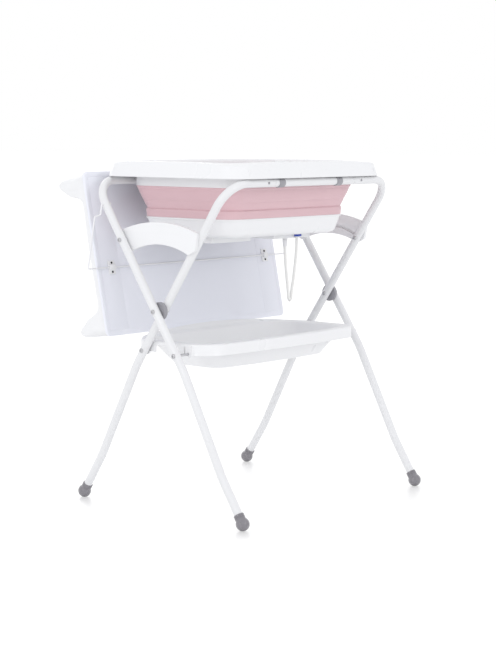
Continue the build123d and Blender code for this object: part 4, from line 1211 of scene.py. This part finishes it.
for side_name, side in sides:
    wire_clip = softened("wire_clip_" + side_name, 0.0004)
    dressed(wire_clip, "board", white_plastic, "white_plastic", "wire_clip_" + side_name)

black_steel = finish("black steel", (0.02, 0.02, 0.022), (0.035, 0.035, 0.038), 0.35, 900, 0.00004, metal=0.8,
                     smudge_scale=120)
screw_head = head_pattern("screw_head", [
    (0, 0), (0.0035, 0), (0.0034, 0.0007), (0.0028, 0.0014), (0.0017, 0.0018, 4), (0.0014, 0.0017, 4),
    (0.0013, 0.0007, 4), (0, 0.0005),
])
screw_x, screw_up, screw_half_gap = 0.361, 0.206, 0.014
screw_way = (on_board.to_3x3() @ Vector((0, 0, -1)))[:]
on_board_from_crossing = to_crossing.inverted() @ on_board
screw_seats = [
    ((on_board_from_crossing @ Vector((side * screw_x, screw_up + gap, -0.003)))[:], screw_way)
    for side in (-1, 1) for gap in (-screw_half_gap, screw_half_gap)]
screws = grown(seats_mesh(screw_seats, []), "clip_screw_heads", fasteners, Head=screw_head,
               Material=black_steel)
dressed(screws, "board", black_steel, "dark_screws", "clip_screws")
bpy.data.objects.remove(screw_head)


# Changing mat. Foam bolsters and a thin pad in a white wipe-clean cover; the two bolsters
# stand up as soft walls along the sides of the pad.
def woven_cover():
    """Wipe-clean cover cloth: a fine weave under a soft coating."""
    material = finish("mat cover", (0.88, 0.88, 0.885), (0.84, 0.84, 0.85), 0.50, 260, 0.0003, sheen=0.3,
                      smudge_scale=14)
    tree = material.node_tree
    turn = added(tree, "ShaderNodeMapping", Rotation=(board_lean, 0, 0))
    weave = added(tree, "ShaderNodeMath", operation="MULTIPLY")
    cloth = added(tree, "ShaderNodeBump", Strength=0.5, Distance=0.00012)
    for entry, direction in enumerate("XZ"):
        threads = added(tree, "ShaderNodeTexWave", bands_direction=direction, Scale=260, Distortion=0.4)
        wired(tree, (turn, "Vector", threads, "Vector"), (threads, "Fac", weave, entry))
    wired(tree, (tree.nodes["Texture Coordinate"], "Object", turn, "Vector"), (weave, 0, cloth, "Height"),
          (tree.nodes["Bump"], "Normal", cloth, "Normal"),
          (cloth, "Normal", tree.nodes["Principled BSDF"], "Normal"))
    return material


mat_cover = woven_cover()
mat_edge = 0.002
pad_thickness = 0.028
bolster_height = 0.120
bolster_width = 0.090
swell_room = 0.0035


def mat_section(x, draw):
    """End view of the mat on the board's plane: a pad between two tall bolsters."""
    low = board_thickness + 0.0004
    floor = board_thickness + pad_thickness - draw
    top = board_thickness + bolster_height - draw
    edge = mat_edge + draw
    inner = mat_edge + bolster_width - draw
    upper = [
        (edge, low), (edge + 0.001, low + 0.030), (edge + 0.004, low + 0.060), (edge + 0.008, top - 0.012),
        (edge + 0.013, top - 0.004), (edge + 0.021, top), (edge + 0.030, top - 0.003),
        (edge + 0.037, top - 0.011), (edge + 0.054, top - 0.040), (inner - 0.012, floor + 0.013),
        (inner - 0.004, floor + 0.004), (inner + 0.008, floor),
        (0.160, floor + 0.003), (0.205, floor + 0.0045), (0.250, floor + 0.005),
    ]
    upper += [(board_width - u, v) for u, v in reversed(upper[:-1])]
    under = [(board_width - share * board_width, low) for share in (0.15, 0.3, 0.5, 0.7, 0.85)]
    return [(x, u, v) for u, v in upper + under]


mat_end = ((0.418, 0.0095), (0.4165, 0.0070), (0.411, 0.0052), (0.400, 0.0040), (0.385, swell_room))
mat_places = [(-x, draw) for x, draw in mat_end]
mat_places += [(x, swell_room) for x in (-0.28, -0.14, 0, 0.14, 0.28)]
mat_places += reversed(mat_end)
mat_mesh = lofted([mat_section(x, draw) for x, draw in mat_places], place=on_board)
mat = stand(outward(mat_mesh, 60), "changing_mat_pad")


def puffed(piece, name, voxel, pressure, cap, frames=20):
    """The piece remeshed and blown up like a stuffed cover, no further than the cap."""
    remesh = piece.modifiers.new("remesh", "REMESH")
    remesh.mode = "VOXEL"
    remesh.voxel_size = voxel
    piece = made_real(piece, name)
    rest = np.zeros(len(piece.data.vertices) * 3, np.float32)
    piece.data.vertices.foreach_get("co", rest)
    cloth = piece.modifiers.new("cloth", "CLOTH")
    cloth.settings.use_pressure = True
    cloth.settings.uniform_pressure_force = pressure
    cloth.settings.effector_weights.gravity = 0
    cloth.settings.quality = 4
    cloth.collision_settings.use_collision = False
    scene = bpy.context.scene
    for number in range(1, frames + 1):
        scene.frame_set(number)
    piece = made_real(piece, name)
    swollen = np.zeros(len(piece.data.vertices) * 3, np.float32)
    piece.data.vertices.foreach_get("co", swollen)
    move = (swollen - rest).reshape(-1, 3)
    reach = np.linalg.norm(move, axis=1, keepdims=True)
    move *= np.minimum(1, cap / np.maximum(reach, 1e-9))
    piece.data.vertices.foreach_set("co", (rest.reshape(-1, 3) + move).ravel())
    scene.frame_set(1)
    return piece


mat = puffed(mat, "changing_mat_pad", voxel=0.006, pressure=4.0, cap=0.006)
mat.data.shade_smooth()
dressed(mat, "board", mat_cover, "mat_cover", "changing_mat")
